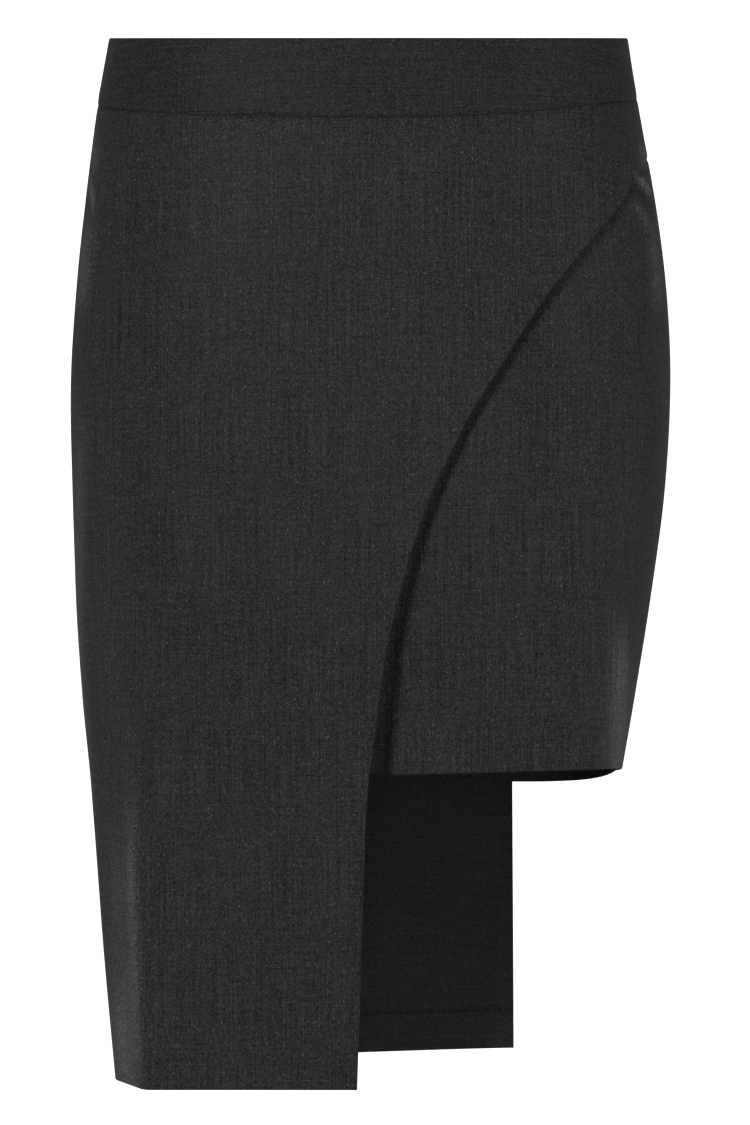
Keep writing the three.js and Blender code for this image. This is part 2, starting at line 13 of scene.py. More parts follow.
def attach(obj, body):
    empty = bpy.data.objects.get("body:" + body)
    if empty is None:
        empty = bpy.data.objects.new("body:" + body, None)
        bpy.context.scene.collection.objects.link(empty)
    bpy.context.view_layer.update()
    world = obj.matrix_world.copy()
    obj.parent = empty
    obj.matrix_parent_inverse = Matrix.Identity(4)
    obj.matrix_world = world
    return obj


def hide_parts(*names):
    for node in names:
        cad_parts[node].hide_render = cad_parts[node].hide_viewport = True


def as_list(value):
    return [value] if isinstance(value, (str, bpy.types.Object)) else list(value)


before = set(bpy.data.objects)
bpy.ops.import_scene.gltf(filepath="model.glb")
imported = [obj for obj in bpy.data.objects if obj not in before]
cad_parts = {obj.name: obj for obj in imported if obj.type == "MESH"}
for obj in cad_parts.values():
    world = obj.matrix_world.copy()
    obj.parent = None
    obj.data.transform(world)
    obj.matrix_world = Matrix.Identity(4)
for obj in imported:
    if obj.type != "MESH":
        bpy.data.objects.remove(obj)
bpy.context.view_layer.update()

MM = 0.001
BODY = "skirt"
PULL_BODY = "pull_tab"

# Cloth and seams
CLOTH = 1.2  # wall of one panel
BAND_WALL = 2.4  # the band is cut double
HEM_TURN_UP = 22
HEM_EXTRA = 0.8  # what the folded hem adds inside
HEM_EDGE = 1.2  # height over which that thickness comes in
HEM_GROOVE = 0.7  # and the dip that the stitches pull in along it
HEM_GROOVE_RUN = 0.9
ROLL_LEFT = 0.16  # share of the wall that is left flat at a rolled edge
SEWN_EASE = 0.2  # an edge that is sewn to its neighbour starts this share of its roll further in
SEWN_FADE = (25, 80)  # the seam under the band is flatter near the side seams
SEWN_SIDE = 0.3  # where this share of its relief is left

# Waist and hems
FRONT_TILT = 0.12  # how far the waist falls or rises for each millimetre forward or back
BACK_TILT = 0.09
BAND_DEPTH_SIDE = 38.5
BAND_DEPTH_FRONT = 42.5
LONG_HEM = -596.4
SHORT_HEM_FRONT = -418.2
SHORT_HEM_BACK = -432
LONG_HEM_BACK = -588
SHORT_HEM_POWER = 2.25
SHORT_HEM_LINE = np.array([  # x, and how far the hem is raised there
    (-140, -1.4), (24, -1.2), (71, 0), (91, 0.6), (117, 1.2), (134, 1.1), (142, 0), (147, -1.2)])
SHORT_HEM_SIDE = -423.3  # at the side seam
SIDE_HEM_DROP = (0.88, 1.05)  # share of the front over which it drops to that

BAND_LINE = np.array([  # the same for the band's lower edge, across the front
    (-150, 0.2), (-120, 0), (-85, -1.2), (-40, -1.2), (0, -1.8), (32, -1.6), (50, -1), (70, 0),
    (87, 1), (101, 2.3), (115, 3.5), (129, 4.2), (148, 3.4)])
BAND_LINE_BACK = (60, 148)  # behind, it comes back to its level over this span of x

# Seams
SIDE_SEAM_Y = 24
BACK_SEAM_WAIST_X = 72
BACK_SEAM_X = 85.5
BACK_SEAM_HIP_Z = -170
BAND_PROUD = 0.45  # the band stands out over the panels
UNDER_BAND = (0.75, 2.0)  # dip of the panels into the seam under the band, and how far it runs
AT_JOIN = (0.35, 1.6)  # and into the side and back seams
BAND_JOIN = (0.3, 1.4)  # the same for the band, at the sides
BAND_FOOT = (0.8, 1.8)  # and at its lower edge
BAND_ALLOWANCE = 0.3  # rise over the seam allowance inside the band
BAND_ALLOWANCE_AT = 7
BAND_ALLOWANCE_RUN = 4

# Overlay on underlay
LAYER_GAP_SIDE = 0.4
LAYER_GAP = 0.9
LAYER_GAP_RUN = 0.2
BLEND_START = 5  # past the overlay's edge the underlay comes out to the form over this span
BLEND_END = 36
SIDE_BLEND = (-150, -100)  # towards the side it comes out sooner
SIDE_BLEND_START = 0.4
SIDE_BLEND_END = 6
SLOPE_SPAN = 5  # the slope of the overlay's edge is taken this far up and down
LIFT_POWER = 1.5  # how late across the overlay its lift comes in
GRID_TURN_X = -96  # left of here the front's columns of points run upright
UPRIGHT_PART = 1 / 3  # and this share of them lies there
WRAP_TOP = -56  # where the overlay's edge meets the side seam
WRAP_TOP_POWER = 1.25

# Fineness of the shells
LOWEST = -612
HIGHEST = 30
LEVEL_STEP = 2
CORNER_SAMPLES = 14
GIRTH_SAMPLES = 641
PANEL_STEP = 3.0  # between columns of points
ROW_STEP = 2.4
BAND_ROW_STEP = 0.9
FINE_STEP = 1.4  # where creases or the hem's turn-up need them closer
HEM_ROW_STEP = 0.6
EDGE_STEPS = (0, 0.12, 0.32, 0.6, 1.0, 1.6, 2.6, 4.2)  # distances from an edge, where points lie close
SETTLE_PASSES = 6
SHARE_STEP = 0.004
CORNER_TURN = 80
SIDE_TURN = 1.6

# The body form by level, as in the solids
LEVEL_COLUMNS = (
    "z", "left", "right", "front", "back", "front_left", "front_right",
    "back_flat", "side_front", "side_back", "turn_left", "turn_right")
LEVELS = np.array([
    (24, 145, 144.5, 106, 103, 76, 76, 78, 48, 46, 80, 80),
    (0, 149, 148, 108.5, 106, 78, 78, 80, 50, 48, 80, 80),
    (-40, 156, 154.3, 112, 111, 80, 80, 83, 52, 51, 80, 80),
    (-100, 163.6, 165, 117.5, 118.5, 84, 84, 88, 56, 56, 80, 80),
    (-150, 168.6, 171, 118.5, 123, 88, 88, 92, 58, 60, 80, 80),
    (-200, 171.4, 173, 117.5, 124, 93, 94, 95, 57, 61, 78, 78),
    (-260, 170.3, 169.8, 112.5, 121, 99, 103, 98, 54, 58, 72, 68),
    (-320, 168, 162, 104, 114, 107, 115, 101, 48, 54, 60, 50),
    (-380, 163.8, 152.4, 94, 104, 117, 123, 104, 41, 48, 40, 32),
    (-420, 160.2, 145.4, 87.5, 96, 123, 126, 106, 36, 44, 26, 24),
    (-470, 155.7, 138, 83, 88, 127.5, 120, 108, 31, 40, 16, 24),
    (-530, 150.8, 133, 77.5, 78, 128, 116, 110, 26, 36, 9, 24),
    (-600, 144.4, 128, 71, 69, 125.5, 112, 112, 22, 32, 5, 24),
])

# The overlay's free edge: its place across the front and its stand-off from the underlay, by height
WRAP_COLUMNS = ("z", "x", "lift")
WRAP_EDGE = np.array([
    (-84, 150.5, 0.2),
    (-102, 140, 0.6),
    (-128, 118.3, 1.2),
    (-157, 95.8, 1.8),
    (-190, 74.6, 2.6),
    (-223, 54, 3.6),
    (-278, 29.2, 5.6),
    (-345, 10.8, 8.4),
    (-370, 6.9, 9.4),
    (-389, 4.4, 10.2),
    (-434, -1, 10.8),
    (-490, -3.2, 8.4),
    (-546, -4.9, 4.2),
    (-600, -6.6, 0.6),
])

# Soft creases, seen from the front, or from behind with x as it is in the frame: head x and z, foot x and z,
# bow, width, height. Each runs from its head to its foot, bows sideways at its middle, and stands out as a
# ridge, or in as a trough where its height is negative.
FRONT_CREASES = np.array([
    (-158.5, -84, -154, -107, 0.5, 1.8, 0.9),
    (-153, -84, -149, -112, 0.8, 3.2, -0.5),
    (-156, -104, -159.5, -162, -1.2, 4.5, 1.2),
    (-149, -112, -151, -168, -1, 6, -0.7),
    (-161, -300, -155, -420, -3, 8, 0.7),
    (-150, -330, -144, -470, 2, 9, -0.5),
    (-131.5, -432, -129.5, -596, 0, 4.5, 1),
    (-121, -450, -119, -590, 0, 8, -0.5),
    (-142, -480, -136, -585, 1, 6, -0.5),
    (30, -78, 78, -98, -5, 9, -0.5),
    (45, -70, 92, -84, -4, 8, 0.45),
    (-10, -104, 34, -116, -4, 11, -0.4),
    (-86, -60, -30, -70, -3, 10, 0.35),
    (-60, -240, -48, -400, 8, 26, 0.5),
    (-20, -200, -34, -360, -6, 22, -0.45),
    (-84, -330, -78, -520, 5, 24, -0.45),
    (-40, -420, -36, -580, -4, 24, 0.4),
    (96, -62, 126, -82, -4, 8, 0.4),
])
UNDERLAY_CREASES = np.array([
    (149.5, -81.5, 159, -92, 0.3, 1.9, 0.9),
    (148, -87, 158.5, -98.5, 0.3, 2.7, -1.6),
    (147, -98, 160, -118, 0.8, 2.8, 0.9),
    (157, -112, 161.5, -160, 1, 4.5, 0.7),
    (133, -300, 138, -415, 2, 7, 0.9),
    (146, -250, 149, -330, 2, 7, -0.7),
    (122, -330, 127, -416, 1, 7, -0.6),
    (96, -230, 104, -380, 4, 20, 0.45),
    (60, -290, 66, -410, -3, 18, -0.4),
    (141, -345, 141, -418, 0.5, 4, 0.9),
])
BACK_CREASES = np.array([
    (-112, -66, -70, -84, -5, 9, -0.5),
    (108, -64, 58, -86, -6, 10, -0.55),
    (-30, -72, 34, -80, -6, 12, 0.45),
    (-146, -110, -132, -196, 5, 9, 0.7),
    (150, -120, 134, -214, -5, 9, 0.7),
    (-96, -210, -84, -420, 9, 22, 0.7),
    (-58, -236, -50, -470, -6, 24, -0.6),
    (6, -228, -8, -500, 8, 26, 0.6),
    (52, -260, 60, -560, -5, 20, -0.6),
    (-128, -330, -122, -560, 4, 12, 0.8),
    (-20, -420, -26, -590, 5, 24, -0.45),
    (112, -250, 116, -425, 4, 12, 0.7),
    (134, -290, 130, -420, 3, 10, -0.6),
])
BAND_CREASES = np.array([
    (-146, -14, -136, -10, 0, 3.5, 0.5),
    (-150, -45, -132, -40, 0.5, 3.5, 0.5),
    (-100, -16, -20, -22, -2, 5, 0.22),
    (20, -20, 110, -14, 2, 5, -0.22),
    (-80, -34, 40, -38, -2, 5, -0.2),
    (60, -36, 130, -30, 1, 4, 0.25),
])
# Painted highlights where the light catches folds, most near the sides, and painted shade in a trough. These
# run like the creases, and the last number is how much lighter the painted colour makes the cloth.
FRONT_PAINTED_LIGHT = np.array([
    (-159.3, -81, -154.4, -106, 0.5, 1.7, 1.6),
    (-157.5, -106, -161.2, -164, -1, 4.5, 1.15),
    (-157, -60, -155.5, -84, 0, 3, 0.8),
    (-163.5, -215, -164, -340, 0, 4.5, 0.8),
    (-166, -310, -159, -440, -1, 4, 1.1),
    (154.3, -62, 156, -80, 0, 2.4, 1.1),
    (149.6, -82, 160.4, -94, 0.3, 1.9, 2.4),
    (147, -88, 159, -102, 0.3, 3, -0.4),
    (148, -99, 160, -118, 0.8, 2.4, 1),
    (158.5, -114, 162.5, -162, 1, 4, 1),
    (-132, -430, -130, -598, 0, 3.4, 1.2),
    (-141, -440, -138.5, -610, 0, 8, 0.7),
    (-139, -530, -136, -700, 0, 9, 1.4),
    (141, -335, 137.5, -450, 0.5, 5.5, 1.9),
    (-152, 14, -156, -48, 0, 3, 0.6),
])
PAINTED_LIGHT_FADE = (6, 32)
SEAM_PAINTED_SHADE = 0.45  # painted shade in the seam under the band, near the sides: how much darker the cloth is painted there
SEAM_PAINTED_SHADE_RUN = 1.3
SEAM_PAINTED_SHADE_FADE = (70, 150)
WRAP_PAINTED_SHADOW = 0.33  # painted shadow on the underlay, close beside the upper part of the overlay's edge
WRAP_PAINTED_SHADOW_MIDDLE = 0.8
WRAP_PAINTED_SHADOW_REACH = 2.8
WRAP_PAINTED_SHADOW_SPAN = ((-255, -205), (-118, -80))
SEAM_FADE = (8, 38)  # creases fade out towards the side seams over this span
WRAP_FADE = (0.2, 3.5)  # and the underlay's own ones under the overlay
CREASE_HEAD = (-0.12, 0.3)  # shares of its run over which a crease rises and falls away
CREASE_FOOT = (0.62, 1.12)

# The underlay falls in beside the overlay's edge: how deep by height, and how fast on either side
HOLLOW_COLUMNS = ("z", "depth", "reach")
HOLLOW = np.array([
    (-90, 0.5, 4.0), (-130, 1.9, 3.6), (-160, 2.4, 3.6), (-220, 2.8, 3.8), (-300, 2.9, 3.8),
    (-345, 3.8, 5.4), (-370, 4.6, 7.0), (-420, 5.8, 9.0)])
HOLLOW_MIDDLE = 2.0
HOLLOW_UNDER = 16.0

# Slow unevenness of the cloth: height of the wave, its run and place across, and the same down
SWELLS = ((0.30, 71, 0.4, 173, 1.1), (0.22, 118, 2.0, 97, 0.2), (0.16, 43, 4.1, 228, 2.7))

# Darts at the back, from the band to a point
DARTS = ((-62, -54, 118), (58, 52, 112))  # head x, foot x, length
NO_DART = 50.0  # distance to a dart where there is none
DART_SINK = 0.5
DART_SINK_RUN = 2.2

# Zip, in the left side seam
ZIP_LENGTH = 196
TAPE_WIDTH = 11
TAPE_WALL = 0.8
TAPE_PARTING = 1.1
TAPE_DEPTH = 3.5
TAPE_DEPTH_BACK = 1.9
TAPE_TOP_DROP = 1.5
TAPE_EASE = 14
SLIDER_DROP = 9.5
NECK_TOP = 5
NECK_BOTTOM = 14
NECK_EASE = 2
NECK_RELIEF = 1.0
NECK_WALL = 1.2
LUG_REACH = 1.7
LUG_RADIUS = 1.8
LUG_HOLE = 1.05
LUG_SWEEP = 0.62 * math.pi
NECK_LENGTH = 5
NECK_ROOT = 1
SLIDER_LENGTH = 9
SLIDER_WIDTH = 7
SLIDER_DEPTH = 3.2
SLIDER_CLEARANCE = 0.4
SLIDER_SLOPE = (0.6, 0.55, 0.8)  # its sloped back: share of the depth, and of the half length up and down
SLIDER_BEVEL = 0.45
NECK_BEVEL = 0.15
PULL_BEVEL = 0.18
PULL_LENGTH = 17
PULL_WIDTH = 5.6
PULL_TOP_WIDTH = 4.2
PULL_WALL = 1
PULL_BAR = 1.2
PULL_WINDOW = 4.6
PULL_WINDOW_WIDTH = 2.2
PULL_SHOULDER = 5.6
COIL_PITCH = 1.35
COIL_RADIUS = 0.42
COIL_NEAR = 1.6  # how far each bar reaches from the seam, on its own tape and on the other
COIL_FAR = 0.5
COIL_TOP_GAP = 1
COIL_FOOT_GAP = 4

# Stitches
HEM_STITCH_PITCH = 6.5
HEM_STITCH_LENGTH = 1.5
STITCH_RADIUS = 0.12
STITCH_BED = 0.4  # share of its radius that a stitch stands off the cloth
STITCH_DROP = (0.35, 0.25, 2.3)  # how uneven they are: middle, spread and beat of the wave along the hem
EDGE_SHARE = 0.006  # share of the girth left free at either end of a hem

# The photograph's view
VIEW_DISTANCE = 2500
VIEW_X = 3.45
VIEW_Z = -301.6
VIEW_HEIGHT = 646.9  # what the picture's height covers at the skirt's middle
SENSOR = 36


def column(rows, names, name, z):
    """One column of a table at heights z, by a smooth curve through its rows."""
    levels = rows[:, 0]
    values = rows[:, names.index(name)]
    before = np.concatenate(([0], np.arange(len(rows) - 1)))
    after = np.concatenate((np.arange(1, len(rows)), [len(rows) - 1]))
    slopes = (values[after] - values[before]) / (levels[after] - levels[before])
    z = np.clip(z, levels[-1], levels[0])
    row = np.clip(np.searchsorted(-levels, -z, side="left") - 1, 0, len(rows) - 2)
    span = levels[row + 1] - levels[row]
    t = (z - levels[row]) / span
    rise = (values[row + 1] - values[row]) / span
    bend = (1 - t) * (slopes[row] - rise) - t * (slopes[row + 1] - rise)
    return values[row] * (1 - t) + values[row + 1] * t + t * (1 - t) * span * bend


def level(name, z):
    return column(LEVELS, LEVEL_COLUMNS, name, z)


def smooth_step(start, end, value):
    t = np.clip((value - start) / (end - start), 0, 1)
    return t * t * (3 - 2 * t)


def mix(a, b, t):
    return a + (b - a) * t


def ring(z):
    """The closed outline at one level: straight edges, with a parabola round each of eight corners."""
    at = {name: float(level(name, z)) for name in LEVEL_COLUMNS[1:]}
    corners = np.array([
        (-at["front_left"], -at["front"]),
        (at["front_right"], -at["front"]),
        (at["right"], -at["side_front"]),
        (at["right"], at["side_back"]),
        (at["back_flat"], at["back"]),
        (-at["back_flat"], at["back"]),
        (-at["left"], at["side_back"]),
        (-at["left"], -at["side_front"]),
    ])
    turns = [at["turn_left"], at["turn_right"]] + [CORNER_TURN] * 5 + [at["turn_left"] * SIDE_TURN]
    t = np.linspace(0, 1, CORNER_SAMPLES + 1)[:, None]
    points = []
    for i, corner in enumerate(corners):
        ends = []
        for other in (corners[i - 1], corners[(i + 1) % 8]):
            away = other - corner
            ends.append(corner + away * min(turns[i] / np.hypot(*away), 0.5))
        points.append(ends[0] * (1 - t) ** 2 + corner * 2 * t * (1 - t) + ends[1] * t ** 2)
    return np.concatenate(points)


def cut_at_seams(points):
    """Front and back stretches of an outline, each from the left seam to the right one."""
    behind = points[:, 1] >= SIDE_SEAM_Y
    count = len(points)
    seams = {}
    for i in range(count):
        j = (i + 1) % count
        if behind[i] != behind[j]:
            t = (SIDE_SEAM_Y - points[i, 1]) / (points[j, 1] - points[i, 1])
            seams["left" if points[i, 0] < 0 else "right"] = (i, mix(points[i], points[j], t))

    def walk(start, end):
        first, last = (start[0] + 1) % count, end[0]
        picked = np.arange(first, last + 1 + (count if last < first else 0)) % count
        return np.vstack([start[1], points[picked], end[1]])

    return {"front": walk(seams["left"], seams["right"]), "back": walk(seams["right"], seams["left"])[::-1]}


HEIGHTS = np.arange(LOWEST, HIGHEST + LEVEL_STEP, LEVEL_STEP, dtype=float)
SHARES = np.linspace(0, 1, GIRTH_SAMPLES)


def work_out_form():
    """Both faces as grids of points by level and share of the girth, and their girths."""
    lines = {"front": [], "back": []}
    girths = {"front": [], "back": []}
    for z in HEIGHTS:
        for face, points in cut_at_seams(ring(z)).items():
            steps = np.hypot(*np.diff(points, axis=0).T)
            along = np.concatenate(([0], np.cumsum(steps)))
            wanted = SHARES * along[-1]
            lines[face].append(np.stack([np.interp(wanted, along, points[:, k]) for k in (0, 1)], axis=1))
            girths[face].append(along[-1])
    return {f: np.array(v) for f, v in lines.items()}, {f: np.array(v) for f, v in girths.items()}


FORM, GIRTHS = work_out_form()


def form_point(face, s, z):
    """x and y of the form at a share of the girth and a height."""
    grid = FORM[face]
    down = np.clip((z - LOWEST) / LEVEL_STEP, 0, len(HEIGHTS) - 1.001)
    over = np.clip(s * (GIRTH_SAMPLES - 1), 0, GIRTH_SAMPLES - 1.001)
    i, k = down.astype(int), over.astype(int)
    t, r = (down - i)[..., None], (over - k)[..., None]
    low = mix(grid[i, k], grid[i, k + 1], r)
    high = mix(grid[i + 1, k], grid[i + 1, k + 1], r)
    return mix(low, high, t)


def girth(face, z):
    return np.interp(z, HEIGHTS, GIRTHS[face])


def outward(face, s, z):
    along = form_point(face, np.minimum(s + SHARE_STEP, 1), z)
    along = along - form_point(face, np.maximum(s - SHARE_STEP, 0), z)
    along /= np.hypot(along[..., 0], along[..., 1])[..., None]
    turned = np.stack([along[..., 1], -along[..., 0]], axis=-1)
    return turned if face == "front" else -turned


def shares_at_x(face, places):
    """For each worked-out level, the share of the girth at which a face passes x."""
    found = []
    for line, x in zip(FORM[face], places):
        first, last = np.argmin(line[:, 0]), np.argmax(line[:, 0])
        found.append(np.interp(x, line[first:last + 1, 0], SHARES[first:last + 1]))
    return np.array(found)


def waist_height(face, s):
    y = form_point(face, s, np.zeros_like(s))[..., 1]
    return y * np.where(y < 0, FRONT_TILT, BACK_TILT)


def band_seam_height(face, s):
    place = form_point(face, s, np.zeros_like(s))
    x, y = place[..., 0], place[..., 1]
    forward = np.maximum(-y, 0) / float(level("front", 0.0))
    if face == "front":
        raised = np.interp(x, BAND_LINE[:, 0], BAND_LINE[:, 1])
    else:
        raised = BAND_LINE[-1, 1] * smooth_step(*BAND_LINE_BACK, x)
    return waist_height(face, s) - mix(BAND_DEPTH_SIDE, BAND_DEPTH_FRONT, forward) + raised


WRAP_X = column(WRAP_EDGE, WRAP_COLUMNS, "x", HEIGHTS)
WRAP_ROUND = np.clip((HEIGHTS - WRAP_EDGE[0, 0]) / (WRAP_TOP - WRAP_EDGE[0, 0]), 0, 1) ** WRAP_TOP_POWER
WRAP_SHARES = mix(shares_at_x("front", WRAP_X), 1, WRAP_ROUND)
TURN_SHARES = shares_at_x("front", np.full(len(HEIGHTS), GRID_TURN_X))
MIDDLE_SHARES = {face: shares_at_x(face, np.zeros(len(HEIGHTS))) for face in FORM}
BACK_SEAM_SHARES = shares_at_x("back", mix(
    BACK_SEAM_X, BACK_SEAM_WAIST_X, smooth_step(BACK_SEAM_HIP_Z, 0, HEIGHTS)))


def wrap_share(z):
    return np.interp(z, HEIGHTS, WRAP_SHARES)


def back_seam_share(z):
    return np.interp(z, HEIGHTS, BACK_SEAM_SHARES)


def past_wrap(s, z):
    """How far a point lies past the overlay's edge, square to it."""
    def edge(height):
        return wrap_share(height) * girth("front", height)
    slope = (edge(z + SLOPE_SPAN) - edge(z - SLOPE_SPAN)) / (2 * SLOPE_SPAN)
    return (s * girth("front", z) - edge(z)) / np.hypot(1, slope)


def overlay_depth(s, z):
    start = np.interp(z, HEIGHTS, TURN_SHARES)
    part = np.clip((s - start) / (wrap_share(z) - start), 0, 1)
    return -column(WRAP_EDGE, WRAP_COLUMNS, "lift", z) * part ** LIFT_POWER


def underlay_depth(s, z):
    gap = mix(LAYER_GAP_SIDE, LAYER_GAP, smooth_step(0, LAYER_GAP_RUN, s))
    near_side = smooth_step(*SIDE_BLEND, z)
    start, end = mix(BLEND_START, SIDE_BLEND_START, near_side), mix(BLEND_END, SIDE_BLEND_END, near_side)
    return (CLOTH + gap) * (1 - smooth_step(start, end, past_wrap(s, z)))


def long_front_hem(s):
    return np.full_like(s, LONG_HEM)


def long_back_hem(s):
    edge = float(back_seam_share(LONG_HEM_BACK))
    return mix(LONG_HEM, LONG_HEM_BACK, np.minimum(s / edge, 1))


def short_front_hem(s):
    x = form_point("front", s, np.full_like(s, SHORT_HEM_FRONT))[..., 0]
    line = SHORT_HEM_FRONT + np.interp(x, SHORT_HEM_LINE[:, 0], SHORT_HEM_LINE[:, 1])
    return mix(line, SHORT_HEM_SIDE, smooth_step(*SIDE_HEM_DROP, s))


def short_back_hem(s):
    start = float(back_seam_share(SHORT_HEM_BACK))
    part = np.clip((s - start) / (1 - start), 0, 1)
    return mix(SHORT_HEM_BACK, float(short_front_hem(np.ones(1))[0]), part ** SHORT_HEM_POWER)


def creased(creases, x, z):
    """Sum of the soft ridges and troughs at places seen square on."""
    total = np.zeros_like(x)
    for head_x, head_z, foot_x, foot_z, bow, width, height in creases:
        run = np.array([foot_x - head_x, foot_z - head_z])
        length = np.hypot(*run)
        run /= length
        along = ((x - head_x) * run[0] + (z - head_z) * run[1]) / length
        aside = (x - head_x) * -run[1] + (z - head_z) * run[0]
        aside = aside - bow * 4 * along * (1 - along)
        taper = smooth_step(*CREASE_HEAD, along) * (1 - smooth_step(*CREASE_FOOT, along))
        total += height * taper * np.exp(-(aside / width) ** 2)
    return total


def swell(x, z):
    return sum(a * np.sin(x / p + q) * np.sin(z / r + w) for a, p, q, r, w in SWELLS)


def seam_fade(face, s, z, span=SEAM_FADE):
    near = np.minimum(s, 1 - s) * girth(face, z)
    return smooth_step(*span, near)


def height_at_zip(line, face):
    """Where a line of the waist meets the left side seam."""
    return float(line(face, np.zeros(1))[0])


def seam_relief(face, s, z):
    return mix(SEWN_SIDE, 1, seam_fade(face, s, z, SEWN_FADE))


def drape(face, s, z, creases):
    x = form_point(face, s, z)[..., 0]
    return (creased(creases, x, z) + swell(x, z)) * seam_fade(face, s, z)


def dart_distance(x, z):
    """Signed distance across the nearest dart, large where there is none."""
    nearest = np.full_like(x, NO_DART)
    top = float(level("back", 0.0)) * BACK_TILT - BAND_DEPTH_SIDE
    for head_x, foot_x, length in DARTS:
        along = (top - z) / length
        aside = x - mix(head_x, foot_x, along)
        aside = np.where(along > 1, np.hypot(aside, (along - 1) * length) * np.where(aside < 0, -1, 1), aside)
        nearest = np.where(np.abs(aside) < np.abs(nearest), aside, nearest)
    return nearest


def spaced(length, step, fine=(), fine_step=FINE_STEP):
    """Shares from 0 to 1 about a step apart, closer over the fine stretches and towards both ends."""
    ends = np.array(EDGE_STEPS)
    stops = [ends[-1]]
    gaps = []
    for start, end in fine:
        stops += [start, end]
        gaps += [step, fine_step]
    stops.append(length - ends[-1])
    gaps.append(step)
    runs = [np.linspace(start, end, max(1, round((end - start) / gap)), endpoint=False)
            for start, end, gap in zip(stops, stops[1:], gaps)]
    return np.concatenate([ends[:-1]] + runs + [length - ends[::-1]]) / length


RIGHT_EDGE, TOP_EDGE, BOTTOM_EDGE = 1, 2, 3  # places in a panel's list of edges


def rolled(distance, wall):
    """How far a face of the wall is drawn in where the cloth rolls over an edge."""
    radius = wall / 2
    reach = np.clip(radius - distance, 0, radius)
    return (radius - np.sqrt(radius ** 2 - reach ** 2)) * (1 - ROLL_LEFT)


def settle(face, columns, rows, share, top, bottom):
    """Share and height of every point of a panel."""
    s = np.repeat(columns[None, :], len(rows), axis=0)
    z = np.zeros_like(s)
    for _ in range(SETTLE_PASSES):
        z = mix(top(s), bottom(s), rows[:, None])
        s = share(columns[None, :], z)
    return s, z


def placed(name, data):
    """A new object that holds a mesh, a lamp or a camera."""
    holder = bpy.data.objects.new(name, data)
    bpy.context.scene.collection.objects.link(holder)
    return holder


def smoothed(mesh):
    mesh.polygons.foreach_set("use_smooth", np.ones(len(mesh.polygons), dtype=bool))
    return mesh


def shell_mesh(name, outer, inner, on_front, grain, marks):
    """A closed shell from two grids of points, in metres, with its weave's directions in attributes."""
    down, across = outer.shape[:2]
    count = down * across
    index = np.arange(count).reshape(down, across)
    a, b = index[:-1, :-1].ravel(), index[1:, :-1].ravel()
    c, d = index[1:, 1:].ravel(), index[:-1, 1:].ravel()
    outside = np.stack([a, b, c, d], axis=1)
    inside = np.stack([a, d, c, b], axis=1) + count
    loop = np.concatenate([index[0], index[1:, -1], index[-1, :-1][::-1], index[1:-1, 0][::-1]])
    after = np.roll(loop, -1)
    rim = np.stack([loop, after, after + count, loop + count], axis=1)
    faces = np.concatenate([outside, inside, rim])
    if not on_front:
        faces = faces[:, ::-1]
    mesh = bpy.data.meshes.new(name)
    mesh.from_pydata((np.concatenate([outer, inner]) * MM).reshape(-1, 3).tolist(), [], faces.tolist())
    side = np.zeros(len(faces), dtype=np.int32)
    side[len(outside):len(outside) + len(inside)] = 1
    mesh.polygons.foreach_set("material_index", side)
    smoothed(mesh).update(calc_edges=True)
    mesh.validate()
    weave = mesh.attributes.new("weave", "FLOAT_VECTOR", "POINT")
    both = np.concatenate([grain.reshape(-1, 3)] * 2) * MM
    weave.data.foreach_set("vector", both.astype(np.float32).ravel())
    for label, values in marks.items():
        mark = mesh.attributes.new(label, "FLOAT", "POINT")
        mark.data.foreach_set("value", np.concatenate([values.ravel()] * 2).astype(np.float32))
    return mesh


def make_panel(name, face, columns, rows, share, top, bottom, depth, sinks, wall=CLOTH,
               hem=False, free_edge=None, grain_turned=False, marks=None, sewn=None):
    """A cloth shell over part of a face of the form. sinks give the dip beside each edge:
    left, right, top, bottom as (depth, run), or None at a free one. sewn is the edge that hardly rolls."""
    s, z = settle(face, columns, rows, share, top, bottom)
    around = girth(face, z)
    ends = share(np.array([[0.0, 1.0]]), z[:, :1]), share(np.array([[0.0, 1.0]]), z[:, -1:])
    distances = [(s - ends[0][:, :1]) * around, (ends[1][:, 1:] - s) * around, top(s) - z, z - bottom(s)]
    if free_edge is not None:
        distances[RIGHT_EDGE] = free_edge(s, z)
    distances = [np.maximum(distance, 0) for distance in distances]
    near = np.minimum.reduce([
        distance + SEWN_EASE * wall / 2 * (edge == sewn) for edge, distance in enumerate(distances)])
    outer_depth = depth(s, z) + rolled(near, wall)
    inner_depth = depth(s, z) + wall - rolled(near, wall)
    for edge, (distance, sink) in enumerate(zip(distances, sinks)):
        if sink is not None:
            dip = sink[0] * np.exp(-(distance / sink[1]) ** 2)
            if edge == sewn:
                dip = dip * seam_relief(face, s, z)
            outer_depth = outer_depth + dip
            inner_depth = inner_depth + dip
    if hem:
        up, over = distances[BOTTOM_EDGE], HEM_TURN_UP + HEM_EDGE
        inner_depth = inner_depth + HEM_EXTRA * (1 - smooth_step(HEM_TURN_UP, over, up))
        inner_depth = inner_depth - HEM_GROOVE * np.exp(-((up - over) / HEM_GROOVE_RUN) ** 2)
    plan = form_point(face, s, z)
    out = outward(face, s, z)
    outer, inner = (np.dstack([plan - out * sunk[..., None], z]) for sunk in (outer_depth, inner_depth))
    middle = np.interp(z, HEIGHTS, MIDDLE_SHARES[face])
    across = (s - middle) * around
    grain = np.dstack(([z, across] if grain_turned else [across, z]) + [np.zeros_like(z)])
    found = {} if marks is None else marks(plan[..., 0], s, z, distances)
    return placed(name, shell_mesh(name, outer, inner, face == "front", grain, found))


# Materials

